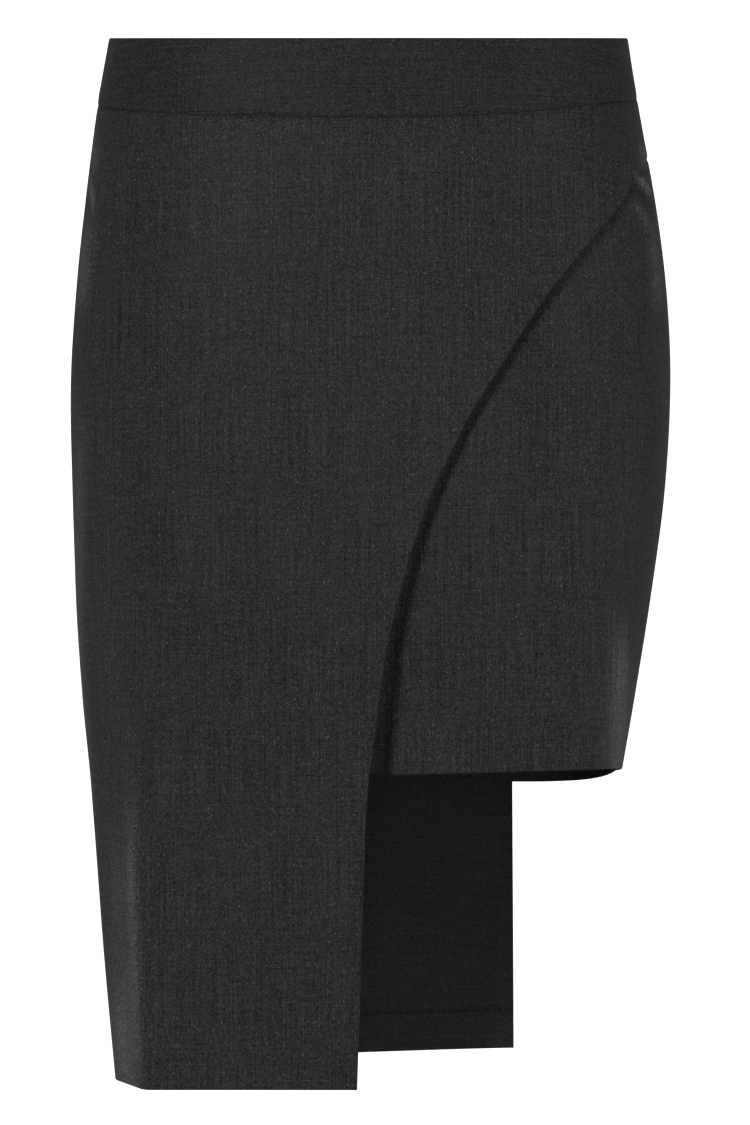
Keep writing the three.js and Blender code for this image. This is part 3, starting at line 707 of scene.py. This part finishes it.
class Signal:
    """A socket that carries a number through a material, so that sums are written as expressions."""

    def __init__(self, finish, socket):
        self.finish = finish
        self.socket = socket

    def sum(self, operation, *values):
        node = self.finish.node("ShaderNodeMath", {"operation": operation}, dict(enumerate(values)))
        return Signal(self.finish, node.outputs[0])

    def __add__(self, other):
        return self.sum("ADD", self, other)

    __radd__ = __add__

    def __sub__(self, other):
        return self.sum("SUBTRACT", self, other)

    def __rsub__(self, other):
        return self.sum("SUBTRACT", other, self)

    def __mul__(self, other):
        return self.sum("MULTIPLY", self, other)

    __rmul__ = __mul__

    def __pow__(self, other):
        return self.sum("POWER", self, other)

    def ramp(self, start, end):
        """0 before start and 1 after end, soft in between."""
        node = self.finish.node("ShaderNodeMapRange", {"interpolation_type": "SMOOTHSTEP", "clamp": True}, {
            "Value": self, "From Min": start, "From Max": end, "To Min": 0.0, "To Max": 1.0})
        return Signal(self.finish, node.outputs["Result"])

    def size(self):
        return self.sum("ABSOLUTE", self)


class Finish:
    """A material under construction."""

    def __init__(self, name):
        self.material = bpy.data.materials.new(name)
        self.material.use_nodes = True
        self.tree = self.material.node_tree
        self.shader = self.tree.nodes["Principled BSDF"]

    def node(self, kind, settings=None, sockets=None):
        node = self.tree.nodes.new(kind)
        for key, value in (settings or {}).items():
            setattr(node, key, value)
        for key, value in (sockets or {}).items():
            self.feed(node.inputs[key], value)
        return node

    def feed(self, socket, value):
        if isinstance(value, Signal):
            self.tree.links.new(value.socket, socket)
        elif isinstance(value, bpy.types.NodeSocket):
            self.tree.links.new(value, socket)
        else:
            socket.default_value = value

    def surface(self, values):
        for name, value in values.items():
            self.feed(self.shader.inputs[name], value)

    def attribute(self, name):
        return self.node("ShaderNodeAttribute", {"attribute_name": name})

    def stretched(self, coordinates, across, along, offset=0.0):
        """Coordinates for a pattern with that many features for each metre across and along the threads."""
        node = self.node("ShaderNodeVectorMath", {"operation": "MULTIPLY_ADD"}, {
            0: coordinates, 1: (across, along, 1.0), 2: (offset, offset * 0.7, offset * 1.3)})
        return node.outputs[0]

    def threads(self, weave, across, along, offset, detail=1.0, roughness=0.5):
        return self.noise(self.stretched(weave, across, along, offset), detail, roughness)

    def noise(self, coordinates, detail=1.0, roughness=0.5):
        node = self.node("ShaderNodeTexNoise", {"noise_dimensions": "3D"}, {
            "Vector": coordinates, "Scale": 1.0, "Detail": detail, "Roughness": roughness})
        return Signal(self, node.outputs["Fac"])

    def tinted(self, factor, first, second):
        first = (*first, 1) if isinstance(first, tuple) else first
        node = self.node("ShaderNodeMix", {"data_type": "RGBA"}, {0: factor, 6: first, 7: (*second, 1)})
        return node.outputs[2]

    def scaled(self, colour, factor):
        node = self.node("ShaderNodeVectorMath", {"operation": "SCALE"}, {0: colour, "Scale": factor})
        return node.outputs[0]

    def bump(self, height, distance, strength):
        node = self.node("ShaderNodeBump", {}, {"Height": height, "Distance": distance, "Strength": strength})
        self.surface({"Normal": node.outputs[0]})


# Colours and patterns of the cloth. A pattern has its features for each metre across and along the grain,
# an offset, detail and roughness.
PLAIN = (0.0201, 0.0201, 0.0203)
TINGE = (0.0198, 0.0197, 0.0242)
GREY = (0.0200, 0.0200, 0.0200)
PAINTED_HIGHLIGHT_TINT = (0.0204, 0.0205, 0.0192)  # tint of the painted highlights
LONG_THREADS = (1000, 16, 3.1, 1.0, 0.6)
CROSS_THREADS = (30, 1050, 7.7, 1.0, 0.6)
SPECKS = (1500, 980, 1.9, 1.0, 0.7)
SLUBS = (1300, 420, 5.3)
PATCHES = (34, 15, 9.4, 2.0)
HUES = (420, 220, 2.2, 2.0)
RIBS = (1600, 90, 4.4)
PICKS = (120, 1700, 6.1)
FLECK_SLUBS = (0.6, 0.74)  # a light fleck shows where both slubs and specks are over these spans
FLECK_SPECKS = (0.5, 0.66)
TINGE_HUES = (0.45, 0.66)  # and the tinge where both hues and patches are
TINGE_PATCHES = (0.38, 0.62)
PAINTED_HIGHLIGHT_TINT_RAMP = (0.15, 1.3)
BRIGHTNESS = 0.97
PATCH_AMOUNT = 0.16
DARKEST = 0.4  # the pattern's brightness is kept above this
CONTRAST = 1.25  # and then raised to this power
DART_SHADE = 0.3  # brightness in a dart's line, which is as wide as the next span says
DART_LINE = (0.15, 0.75)
CLOTH_RELIEF = (0.00022, 0.6)
CLOTH_GLOSS = {"Specular IOR Level": 0.04, "Sheen Weight": 0.006, "Sheen Roughness": 0.45}


def suiting(name, shade, plain, tinge, threads, cross, grain_amount, flecks, dart=False, painted_light=False):
    """Worsted cloth: slubby threads along the grain, finer ones across, specks and light flecks."""
    finish = Finish(name)
    weave = finish.attribute("weave").outputs["Vector"]
    long_threads, cross_threads, specks, slubs, patches, hues = (
        finish.threads(weave, *pattern)
        for pattern in (LONG_THREADS, CROSS_THREADS, SPECKS, SLUBS, PATCHES, HUES))
    fleck = slubs.ramp(*FLECK_SLUBS) * specks.ramp(*FLECK_SPECKS)
    factor = (BRIGHTNESS + (long_threads - 0.5) * threads + (cross_threads - 0.5) * cross
              + (specks - 0.5) * grain_amount + (patches - 0.5) * PATCH_AMOUNT + fleck * flecks)
    factor = factor.sum("MAXIMUM", factor, DARKEST) ** CONTRAST * shade
    # painted highlights and painted shade, read from the marks, lighten or darken the cloth's colour
    if painted_light:
        enamel_wear_and_cloth_painted_light = Signal(finish, finish.attribute("painted_light").outputs["Fac"])
        factor = factor * (1 + enamel_wear_and_cloth_painted_light)
    if dart:
        gap = Signal(finish, finish.attribute("dart").outputs["Fac"]).size().ramp(*DART_LINE)
        factor = factor * (DART_SHADE + gap * (1 - DART_SHADE))
    tint = finish.tinted(hues.ramp(*TINGE_HUES) * patches.ramp(*TINGE_PATCHES), plain, tinge)
    # the painted highlights take a warm tint
    if painted_light:
        tint = finish.tinted(enamel_wear_and_cloth_painted_light.ramp(*PAINTED_HIGHLIGHT_TINT_RAMP), tint, PAINTED_HIGHLIGHT_TINT)
    finish.surface({
        "Base Color": finish.scaled(tint, factor),
        "Roughness": 0.5 + (patches - 0.5) * 0.12 + (long_threads - 0.5) * 0.12, **CLOTH_GLOSS})
    finish.bump(long_threads * 0.55 + cross_threads * 0.3 + specks * 0.5 + fleck * 0.6, *CLOTH_RELIEF)
    return finish.material


# Shade, colour, tinge, and how strong the long threads, cross threads, specks and flecks are
panel_cloth = suiting("panel cloth", 1.03, PLAIN, TINGE, 1.0, 0.65, 2.45, 2.1, painted_light=True)
back_cloth = suiting("back cloth", 1.03, PLAIN, TINGE, 1.0, 0.65, 2.45, 2.1, dart=True)
band_cloth = suiting("band cloth", 0.89, GREY, GREY, 0.85, 0.6, 2.3, 2.0, painted_light=True)
reverse_cloth = suiting("reverse of the cloth", 0.91, GREY, GREY, 0.25, 0.6, 1.5, 0.8)


def tape_finish():
    """Woven zip tape: fine ribs along the tape."""
    finish = Finish("zip tape weave")
    weave = finish.attribute("weave").outputs["Vector"]
    ribs, picks = finish.threads(weave, *RIBS), finish.threads(weave, *PICKS)
    colour = finish.tinted(ribs.ramp(0.3, 0.7), (0.006, 0.006, 0.0065), (0.017, 0.017, 0.018))
    finish.surface({
        "Base Color": finish.scaled(colour, 0.7 + picks * 0.6), "Roughness": 0.7 + (picks - 0.5) * 0.2})
    finish.bump(ribs + picks * 0.6, 0.00015, 0.7)
    return finish.material


def object_noise(finish, scale, detail):
    place = finish.node("ShaderNodeTexCoord").outputs["Object"]
    return finish.noise(finish.stretched(place, scale, scale), detail)


def strand_finish(name, scale, detail, dark, light, roughness, bump=None):
    """Nylon or thread."""
    finish = Finish(name)
    twist = object_noise(finish, scale, detail)
    finish.surface({
        "Base Color": finish.tinted(twist, dark, light), "Roughness": roughness + (twist - 0.5) * 0.2})
    if bump:
        finish.bump(twist, *bump)
    return finish.material


def enamel_finish():
    """Black enamel on die-cast metal, rubbed a little lighter in places."""
    finish = Finish("zip enamel")
    wear = object_noise(finish, 700, 4.0)
    grain = object_noise(finish, 3500, 1.0)
    enamel_wear_and_cloth_painted_light = wear.ramp(0.58, 0.78)
    finish.surface({
        "Base Color": finish.tinted(enamel_wear_and_cloth_painted_light, (0.012, 0.012, 0.013), (0.05, 0.05, 0.052)),
        "Roughness": 0.3 + (grain - 0.5) * 0.14 + enamel_wear_and_cloth_painted_light * 0.15, "Metallic": 0.35})
    finish.bump(grain, 0.00004, 0.4)
    return finish.material


tape_weave = tape_finish()
coil_nylon = strand_finish("zip coil nylon", 900, 2.0, (0.008, 0.008, 0.009), (0.018, 0.018, 0.019), 0.34)
thread = strand_finish(
    "sewing thread", 2600, 1.0, (0.006, 0.006, 0.007), (0.026, 0.026, 0.028), 0.55, (0.0001, 0.6))
enamel = enamel_finish()


def dress(piece, slot_name, *materials, body=BODY, nodes=()):
    """Gives a piece its materials and its body, and hides the imported parts that it stands for; slot_name is not
    used.
    """
    for material in materials:
        piece.data.materials.append(material)
    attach(piece, body)
    if nodes:
        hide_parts(*nodes)
    return piece


# Marks on the cloth, which its material reads: painted highlights, painted shade and shadow, and the darts' lines

# Painted shadow on the underlay beside the upper part of the overlay's edge
def painted_wrap_shadow(s, z):
    lowest, highest = WRAP_PAINTED_SHADOW_SPAN
    along = smooth_step(*lowest, z) * (1 - smooth_step(*highest, z))
    return WRAP_PAINTED_SHADOW * along * np.exp(-((past_wrap(s, z) - WRAP_PAINTED_SHADOW_MIDDLE) / WRAP_PAINTED_SHADOW_REACH) ** 2)


def painted_light_marks(sewn_edge, beside_wrap=False):
    """Painted highlights and trough shade on the front, painted shade in its seam, and a painted shadow beside
    the wrap's edge.
    """
    def marks(x, s, z, distances):
        beside = 1 - seam_fade("front", s, z, SEAM_PAINTED_SHADE_FADE)
        # painted shade in the seam under the band, strongest near the sides
        shade = SEAM_PAINTED_SHADE * beside * np.exp(-(distances[sewn_edge] / SEAM_PAINTED_SHADE_RUN) ** 2)
        if beside_wrap:
            # painted shadow beside the overlay's edge
            shade = shade + painted_wrap_shadow(s, z)
        return {"painted_light": creased(FRONT_PAINTED_LIGHT, x, z) * seam_fade("front", s, z, PAINTED_LIGHT_FADE) - shade}
    return marks


def dart_marks(x, s, z, distances):
    return {"dart": dart_distance(x, z)}


# Waistband

def zip_edge_share(face, z):
    """The band's edge at the zip stands back from the seam beside the slider's neck."""
    down = height_at_zip(waist_height, face) - z
    below = smooth_step(NECK_TOP - NECK_EASE, NECK_TOP, down)
    above = 1 - smooth_step(NECK_BOTTOM, NECK_BOTTOM + NECK_EASE, down)
    return NECK_RELIEF * below * above / girth(face, z)


def band_depth(face):
    creases = BAND_CREASES if face == "front" else BAND_CREASES[2:]

    def depth(s, z):
        above = z - band_seam_height(face, s)
        allowance = BAND_ALLOWANCE * np.exp(-((above - BAND_ALLOWANCE_AT) / BAND_ALLOWANCE_RUN) ** 2)
        return -(BAND_PROUD + allowance) * seam_relief(face, s, z) - drape(face, s, z, creases)
    return depth


def band_seam(face):
    return lambda s: band_seam_height(face, s)


def waistband(face):
    return make_panel(
        "waistband_" + face + "_cloth", face, spaced(410, PANEL_STEP), spaced(40, BAND_ROW_STEP),
        lambda c, z: mix(zip_edge_share(face, z), 1, c), lambda s: waist_height(face, s), band_seam(face),
        band_depth(face), (BAND_JOIN, BAND_JOIN, None, BAND_FOOT), wall=BAND_WALL, grain_turned=True,
        marks=painted_light_marks(BOTTOM_EDGE) if face == "front" else None, sewn=BOTTOM_EDGE)


# Panels

def front_share(right_share):
    def share(c, z):
        turn = np.interp(z, HEIGHTS, TURN_SHARES)
        upright = turn * (c / UPRIGHT_PART)
        fanned = mix(turn, right_share(z), (c - UPRIGHT_PART) / (1 - UPRIGHT_PART))
        return np.where(c < UPRIGHT_PART, upright, fanned)
    return share


def overlay_form(s, z):
    return overlay_depth(s, z) - drape("front", s, z, FRONT_CREASES)


def front_overlay():
    return make_panel(
        "front_overlay_cloth", "front", spaced(390, PANEL_STEP, ((28, 76), (336, 385))),
        spaced(550, ROW_STEP, ((24, 82), (525, 531))), front_share(wrap_share), band_seam("front"),
        long_front_hem, overlay_form, (AT_JOIN, None, UNDER_BAND, None), hem=True,
        free_edge=lambda s, z: -past_wrap(s, z), marks=painted_light_marks(TOP_EDGE), sewn=TOP_EDGE)


def underlay_form(s, z):
    shown = smooth_step(*WRAP_FADE, past_wrap(s, z))
    x = form_point("front", s, z)[..., 0]
    own = creased(UNDERLAY_CREASES, x, z) * shown * seam_fade("front", s, z)
    aside = past_wrap(s, z) - HOLLOW_MIDDLE
    reach = np.where(aside > 0, column(HOLLOW, HOLLOW_COLUMNS, "reach", z), HOLLOW_UNDER)
    hollow = np.exp(-np.abs(aside / reach) ** 3)
    hollow = hollow * column(HOLLOW, HOLLOW_COLUMNS, "depth", z)
    return underlay_depth(s, z) + hollow - drape("front", s, z, FRONT_CREASES) - own


def front_underlay():
    return make_panel(
        "front_underlay_cloth", "front", spaced(500, PANEL_STEP, ((440, 494),)),
        spaced(372, ROW_STEP, ((22, 84), (347, 353))), front_share(lambda z: 1), band_seam("front"),
        short_front_hem, underlay_form, (AT_JOIN, AT_JOIN, UNDER_BAND, None), hem=True,
        marks=painted_light_marks(TOP_EDGE, beside_wrap=True), sewn=TOP_EDGE)


def back_depth(s, z):
    x = form_point("back", s, z)[..., 0]
    dart = DART_SINK * np.exp(-(dart_distance(x, z) / DART_SINK_RUN) ** 2)
    return dart - drape("back", s, z, BACK_CREASES)


def back_panel(name, width, length, hem_rows, share, hem_line):
    return make_panel(
        name, "back", spaced(width, PANEL_STEP), spaced(length, ROW_STEP, (hem_rows,), HEM_ROW_STEP),
        share, band_seam("back"), hem_line, back_depth, (AT_JOIN, AT_JOIN, UNDER_BAND, None),
        hem=True, marks=dart_marks, sewn=TOP_EDGE)


def back_long_panel():
    return back_panel(
        "back_long_cloth", 330, 550, (523, 531), lambda c, z: back_seam_share(z) * c, long_back_hem)


def back_short_panel():
    return back_panel(
        "back_short_cloth", 115, 385, (358, 366), lambda c, z: mix(back_seam_share(z), 1, c), short_back_hem)


band_front, band_back = [
    dress(waistband(face), "band_suiting", band_cloth, reverse_cloth, nodes=("waistband_" + face,))
    for face in ("front", "back")]
overlay = dress(front_overlay(), "suiting", panel_cloth, reverse_cloth, nodes=("front_overlay",))
underlay = dress(front_underlay(), "suiting", panel_cloth, reverse_cloth, nodes=("front_underlay",))
back_long = dress(back_long_panel(), "suiting", back_cloth, reverse_cloth, nodes=("back_long_panel",))
back_short = dress(back_short_panel(), "suiting", back_cloth, reverse_cloth, nodes=("back_short_panel",))


# Zip

def tape_depth(face):
    below = TAPE_DEPTH if face == "front" else TAPE_DEPTH_BACK
    seam = height_at_zip(band_seam_height, face)
    return lambda s, z: mix(below, TAPE_DEPTH, smooth_step(seam - TAPE_EASE, seam, z))


def zip_tape(face):
    return make_panel(
        "zip_tape_" + face + "_weave", face, spaced(TAPE_WIDTH, 1.0), spaced(ZIP_LENGTH, 2.4),
        lambda c, z: (TAPE_PARTING + c * TAPE_WIDTH) / girth(face, z),
        lambda s: waist_height(face, s) - TAPE_TOP_DROP, lambda s: np.full_like(s, -ZIP_LENGTH),
        tape_depth(face), (None, None, None, None), wall=TAPE_WALL)


ROD_END = ((-1.0, 0.35), (-0.65, 0.8), (0.0, 1.0))  # rounding of an end: place along it and size, in radii
ACROSS = (0.3, 0.2, 0.93)  # no rod runs in this direction


def rods(name, starts, ends, radius, profile=ROD_END, sides=6):
    """Many short round-ended rods as one mesh."""
    turns = np.linspace(0, 2 * math.pi, sides, endpoint=False)
    points, faces = [], []
    for start, end in zip(starts, ends):
        axis = end - start
        length = np.linalg.norm(axis)
        axis = axis / length
        side = np.cross(axis, ACROSS)
        side /= np.linalg.norm(side)
        other = np.cross(axis, side)
        first = len(points)
        stations = [(start + axis * radius * (1 + along), size) for along, size in profile]
        stations += [(end - axis * radius * (1 + along), size) for along, size in reversed(profile)]
        for centre, size in stations:
            for turn in turns:
                points.append(centre + radius * size * (math.cos(turn) * side + math.sin(turn) * other))
        for k in range(len(stations) - 1):
            for i in range(sides):
                a, b = first + k * sides + i, first + k * sides + (i + 1) % sides
                faces.append((a, b, b + sides, a + sides))
        faces.append(tuple(first + i for i in reversed(range(sides))))
        last = first + (len(stations) - 1) * sides
        faces.append(tuple(last + i for i in range(sides)))
    mesh = bpy.data.meshes.new(name)
    mesh.from_pydata([tuple(p * MM) for p in points], [], faces)
    smoothed(mesh).update()
    return placed(name, mesh)


def cloth_points(face, s, z, depth):
    """Points of the form at shares and heights, drawn in by a depth."""
    plan = form_point(face, s, z) - outward(face, s, z) * np.broadcast_to(depth, s.shape)[..., None]
    return np.dstack([plan[None], z[None]])[0]


def coil():
    """The closed coil: short bars that reach across the parting from either tape in turn."""
    top = height_at_zip(waist_height, "front") - SLIDER_DROP - SLIDER_LENGTH / 2 - COIL_TOP_GAP
    z = np.arange(top, -ZIP_LENGTH + COIL_FOOT_GAP, -COIL_PITCH)
    depth = TAPE_DEPTH + TAPE_WALL / 2
    starts, ends = [], []
    for i, height in enumerate(z):
        near, far = ("front", "back") if i % 2 else ("back", "front")
        at = np.array([height])
        starts.append(cloth_points(near, COIL_NEAR / girth(near, at), at, depth)[0])
        ends.append(cloth_points(far, COIL_FAR / girth(far, at), at, depth)[0])
    return rods("zip_coil", starts, ends, COIL_RADIUS)


def slider_frame():
    """Turns millimetres on the seam, as x out of the cloth, y along the girth and z up it, into metres."""
    zero = np.zeros(1)
    middle = height_at_zip(waist_height, "front") - SLIDER_DROP
    ends = [cloth_points("front", zero, np.array([middle + step]), 0)[0]
            for step in (-SLIDER_DROP, SLIDER_DROP)]
    up = Vector(ends[1] - ends[0]).normalized()
    plan = outward("front", zero, np.array([middle]))[0]
    out = Vector((plan[0], plan[1], 0))
    out = (out - up * out.dot(up)).normalized()
    along = up.cross(out)
    place = Vector(cloth_points("front", zero, np.array([middle]), 0)[0]) * MM
    turn = Matrix((out, along, up)).transposed().to_4x4()
    return Matrix.Translation(place) @ turn @ Matrix.Scale(MM, 4)


def arc(centre, radius, start, end, steps=12):
    turns = np.linspace(start, end, steps + 1)
    return [(centre[0] + radius * math.cos(t), centre[1] + radius * math.sin(t)) for t in turns]


FLAT_ANGLE = 0.02  # faces of a plate that meet at less are joined, and edges over the other are bevelled
SHARP_ANGLE = 1.0


def plate(mesh, outline, thickness, bevel, turned=False, hole=None):
    """Adds a bevelled plate to a bmesh: an outline as x and z, or y and z where turned, with a hole."""
    def place(point, offset):
        return (offset, point[0], point[1]) if turned else (point[0], offset, point[1])
    rings = []
    for line in [outline] + ([hole] if hole else []):
        rings.append([[mesh.verts.new(place(p, side * thickness / 2)) for p in line] for side in (-1, 1)])
    made = []
    for low, high in rings:
        count = len(low)
        for i in range(count):
            made.append(mesh.faces.new((low[i], low[(i + 1) % count], high[(i + 1) % count], high[i])))
    caps = []
    for side in (0, 1):
        edges = []
        for both in rings:
            line = both[side]
            edges += [mesh.edges.get((line[i], line[(i + 1) % len(line)])) for i in range(len(line))]
        filled = bmesh.ops.triangle_fill(mesh, use_beauty=True, edges=edges)
        caps += [f for f in filled["geom"] if isinstance(f, bmesh.types.BMFace)]
    bmesh.ops.recalc_face_normals(mesh, faces=made + caps)
    flat = [e for e in mesh.edges if any(f in caps for f in e.link_faces)]
    bmesh.ops.dissolve_limit(mesh, angle_limit=FLAT_ANGLE, verts=[], edges=flat)
    sharp = [e for e in mesh.edges if len(e.link_faces) == 2 and e.calc_face_angle(0) > SHARP_ANGLE]
    bmesh.ops.bevel(mesh, geom=sharp, offset=bevel, segments=2, affect="EDGES", clamp_overlap=True)


def solid_piece(name, plates, matrix):
    piece_mesh = bpy.data.meshes.new(name)
    whole = bmesh.new()
    for settings in plates:
        part = bmesh.new()
        plate(part, **settings)
        for f in part.faces:
            f.smooth = True
        part.to_mesh(piece_mesh)
        part.free()
        whole.from_mesh(piece_mesh)
    bmesh.ops.recalc_face_normals(whole, faces=whole.faces)
    whole.transform(matrix)
    whole.to_mesh(piece_mesh)
    whole.free()
    return placed(name, piece_mesh)


def slider(matrix):
    inner = -TAPE_DEPTH - TAPE_WALL - SLIDER_CLEARANCE
    half = SLIDER_LENGTH / 2
    slope, up, down = SLIDER_SLOPE
    edge, back = inner - SLIDER_DEPTH * slope, inner - SLIDER_DEPTH
    body = [(inner, -half), (inner, half), (edge, half), (back, half * up), (back, -half * down), (edge, -half)]
    neck = [(inner - NECK_ROOT, -NECK_LENGTH / 2), (0, -NECK_LENGTH / 2)]
    neck += arc((LUG_REACH, 0), LUG_RADIUS, -LUG_SWEEP, LUG_SWEEP)
    neck += [(0, NECK_LENGTH / 2), (inner - NECK_ROOT, NECK_LENGTH / 2)]
    hole = arc((LUG_REACH, 0), LUG_HOLE, 2 * math.pi, 0, 16)[:-1]
    return solid_piece("zip_slider_cast", [
        {"outline": body, "thickness": SLIDER_WIDTH, "bevel": SLIDER_BEVEL},
        {"outline": neck, "thickness": NECK_WALL, "hole": hole, "bevel": NECK_BEVEL}], matrix)


def pull(matrix):
    top = PULL_BAR / 2
    outline = [(-PULL_TOP_WIDTH / 2, top), (-PULL_TOP_WIDTH / 2, -PULL_SHOULDER)]
    outline += arc((0, -PULL_LENGTH + PULL_WIDTH / 2), PULL_WIDTH / 2, math.pi, 2 * math.pi, 14)
    outline += [(PULL_TOP_WIDTH / 2, -PULL_SHOULDER), (PULL_TOP_WIDTH / 2, top)]
    side = PULL_WINDOW_WIDTH / 2
    window = [(-side, -top), (side, -top), (side, -PULL_WINDOW), (-side, -PULL_WINDOW)]
    at_bar = matrix @ Matrix.Translation((LUG_REACH, 0, 0))
    return solid_piece("zip_pull_cast", [{
        "outline": outline, "thickness": PULL_WALL, "turned": True, "hole": window, "bevel": PULL_BEVEL}], at_bar)


tapes = [dress(zip_tape(face), "zip_tape", tape_weave, tape_weave, nodes=("zip_tape_" + face,))
         for face in ("front", "back")]
dress(coil(), "zip_tape", coil_nylon)
seam_matrix = slider_frame()
dress(slider(seam_matrix), "zip_enamel", enamel, nodes=("zip_slider",))
dress(pull(seam_matrix), "zip_enamel", enamel, body=PULL_BODY, nodes=("zip_pull",))


# Hem stitches: small catches of thread along the top of each turned-up hem, inside

def hem_stitches(name, face, first, last, hem_height, depth):
    """Slanting catches between two shares of the girth, on the inner side of a panel."""
    first, last = first + EDGE_SHARE, last - EDGE_SHARE
    height = hem_height(np.array([(first + last) / 2]))[0] + HEM_TURN_UP
    around = float(girth(face, height))
    count = int((last - first) * around / HEM_STITCH_PITCH)
    s = first + (np.arange(count) + 0.5) * HEM_STITCH_PITCH / around
    lean = HEM_STITCH_LENGTH / around / 2
    z = hem_height(s) + HEM_TURN_UP
    middle, spread, beat = STITCH_DROP
    drop = middle + spread * np.sin(np.arange(count) * beat)
    off = CLOTH + STITCH_RADIUS * STITCH_BED
    low, high = z - drop, z + HEM_EDGE + drop
    starts = cloth_points(face, s - lean, low, depth(s - lean, low) + off + HEM_EXTRA)
    ends = cloth_points(face, s + lean, high, depth(s + lean, high) + off)
    return rods(name, starts, ends, STITCH_RADIUS, ROD_END[:2])


stitched = [dress(hem_stitches(name + "_hem_stitches", *course), "suiting", thread) for name, *course in (
    ("overlay", "front", 0, float(wrap_share(LONG_HEM)), long_front_hem, overlay_form),
    ("underlay", "front", 0, 1, short_front_hem, underlay_form),
    ("back_long", "back", 0, float(back_seam_share(LONG_HEM_BACK)), long_back_hem, back_depth),
    ("back_short", "back", float(back_seam_share(SHORT_HEM_BACK)), 1, short_back_hem, back_depth))]

# The cut of each piece as it shows: width and length of the cloth, and its area where that isn't a rectangle
for piece, flat, area, neighbours, stitches in (
        (overlay, (0.468, 0.550), 0.164, [band_front, underlay], stitched[0]),
        (underlay, (0.522, 0.372), 0.187, [band_front], stitched[1]),
        (back_long, (0.330, 0.550), 0.160, [band_back], stitched[2]),
        (back_short, (0.135, 0.388), 0.048, [band_back], stitched[3])):
    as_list(neighbours)


# Stage: a plain pale floor that turns up into the backdrop

def studio():
    finish = Finish("studio paper")
    fibres = object_noise(finish, 3.0, 2.0)
    finish.surface({
        "Base Color": finish.tinted(fibres, (0.90, 0.90, 0.90), (0.93, 0.93, 0.93)),
        "Emission Color": finish.tinted(fibres, (0.99, 0.99, 0.99), (1, 1, 1)),
        "Emission Strength": 0.95, "Roughness": 0.9})
    floor_z, near_y, bend_y, radius, top_z, half_width = -0.95, -7.0, 6.0, 1.4, 4.6, 7.0
    profile = [(near_y, floor_z), (bend_y, floor_z)]
    profile += [(bend_y + radius * math.sin(t), floor_z + radius * (1 - math.cos(t)))
                for t in np.linspace(0, math.pi / 2, 25)[1:]]
    profile += [(bend_y + radius, top_z)]
    points = [(x, y, z) for y, z in profile for x in (-half_width, half_width)]
    faces = [(2 * i, 2 * i + 1, 2 * i + 3, 2 * i + 2) for i in range(len(profile) - 1)]
    mesh = bpy.data.meshes.new("studio_paper")
    mesh.from_pydata(points, [], faces)
    mesh.materials.append(finish.material)
    paper = placed("studio_paper", smoothed(mesh))
    paper.visible_diffuse = False
    paper.visible_glossy = False


def lamp(name, place, aim, width, height, power):
    light = bpy.data.lights.new(name, "AREA")
    light.shape = "RECTANGLE"
    light.size, light.size_y, light.energy = width, height, power
    holder = placed(name, light)
    holder.location = place
    holder.rotation_euler = (Vector(aim) - Vector(place)).to_track_quat("-Z", "Y").to_euler()


MIDDLE = (0, 0, -0.3)
studio()
lamp("key_softbox", (-2.9, -4.6, 1.6), MIDDLE, 1.7, 1.7, 190)
lamp("right_softbox", (4.6, -2.9, 1.0), MIDDLE, 1.2, 3.0, 95)
lamp("low_fill", (0.6, -5.2, -1.2), (0, 0, -0.65), 2.0, 1.0, 285)
lamp("left_strip", (-1.35, 0.1, -0.8), (0, 0, -0.5), 0.25, 0.9, 4.5)
lamp("right_strip", (1.35, 0.1, -0.6), (0, 0, -0.45), 0.25, 0.8, 3.5)

world = bpy.data.worlds.new("studio")
world.use_nodes = True
sky = world.node_tree.nodes["Background"].inputs
sky["Color"].default_value = (1, 1, 1, 1)
sky["Strength"].default_value = 0.27
bpy.context.scene.world = world
bpy.context.scene.view_settings.view_transform = "Standard"

camera_data = bpy.data.cameras.new("camera")
camera_data.sensor_width = SENSOR
camera_data.lens = SENSOR * VIEW_DISTANCE / VIEW_HEIGHT
camera_data.clip_end = 100
camera = placed("camera", camera_data)
camera.location = (VIEW_X * MM, -VIEW_DISTANCE * MM, VIEW_Z * MM)
camera.rotation_euler = (math.pi / 2, 0, 0)
bpy.context.scene.camera = camera
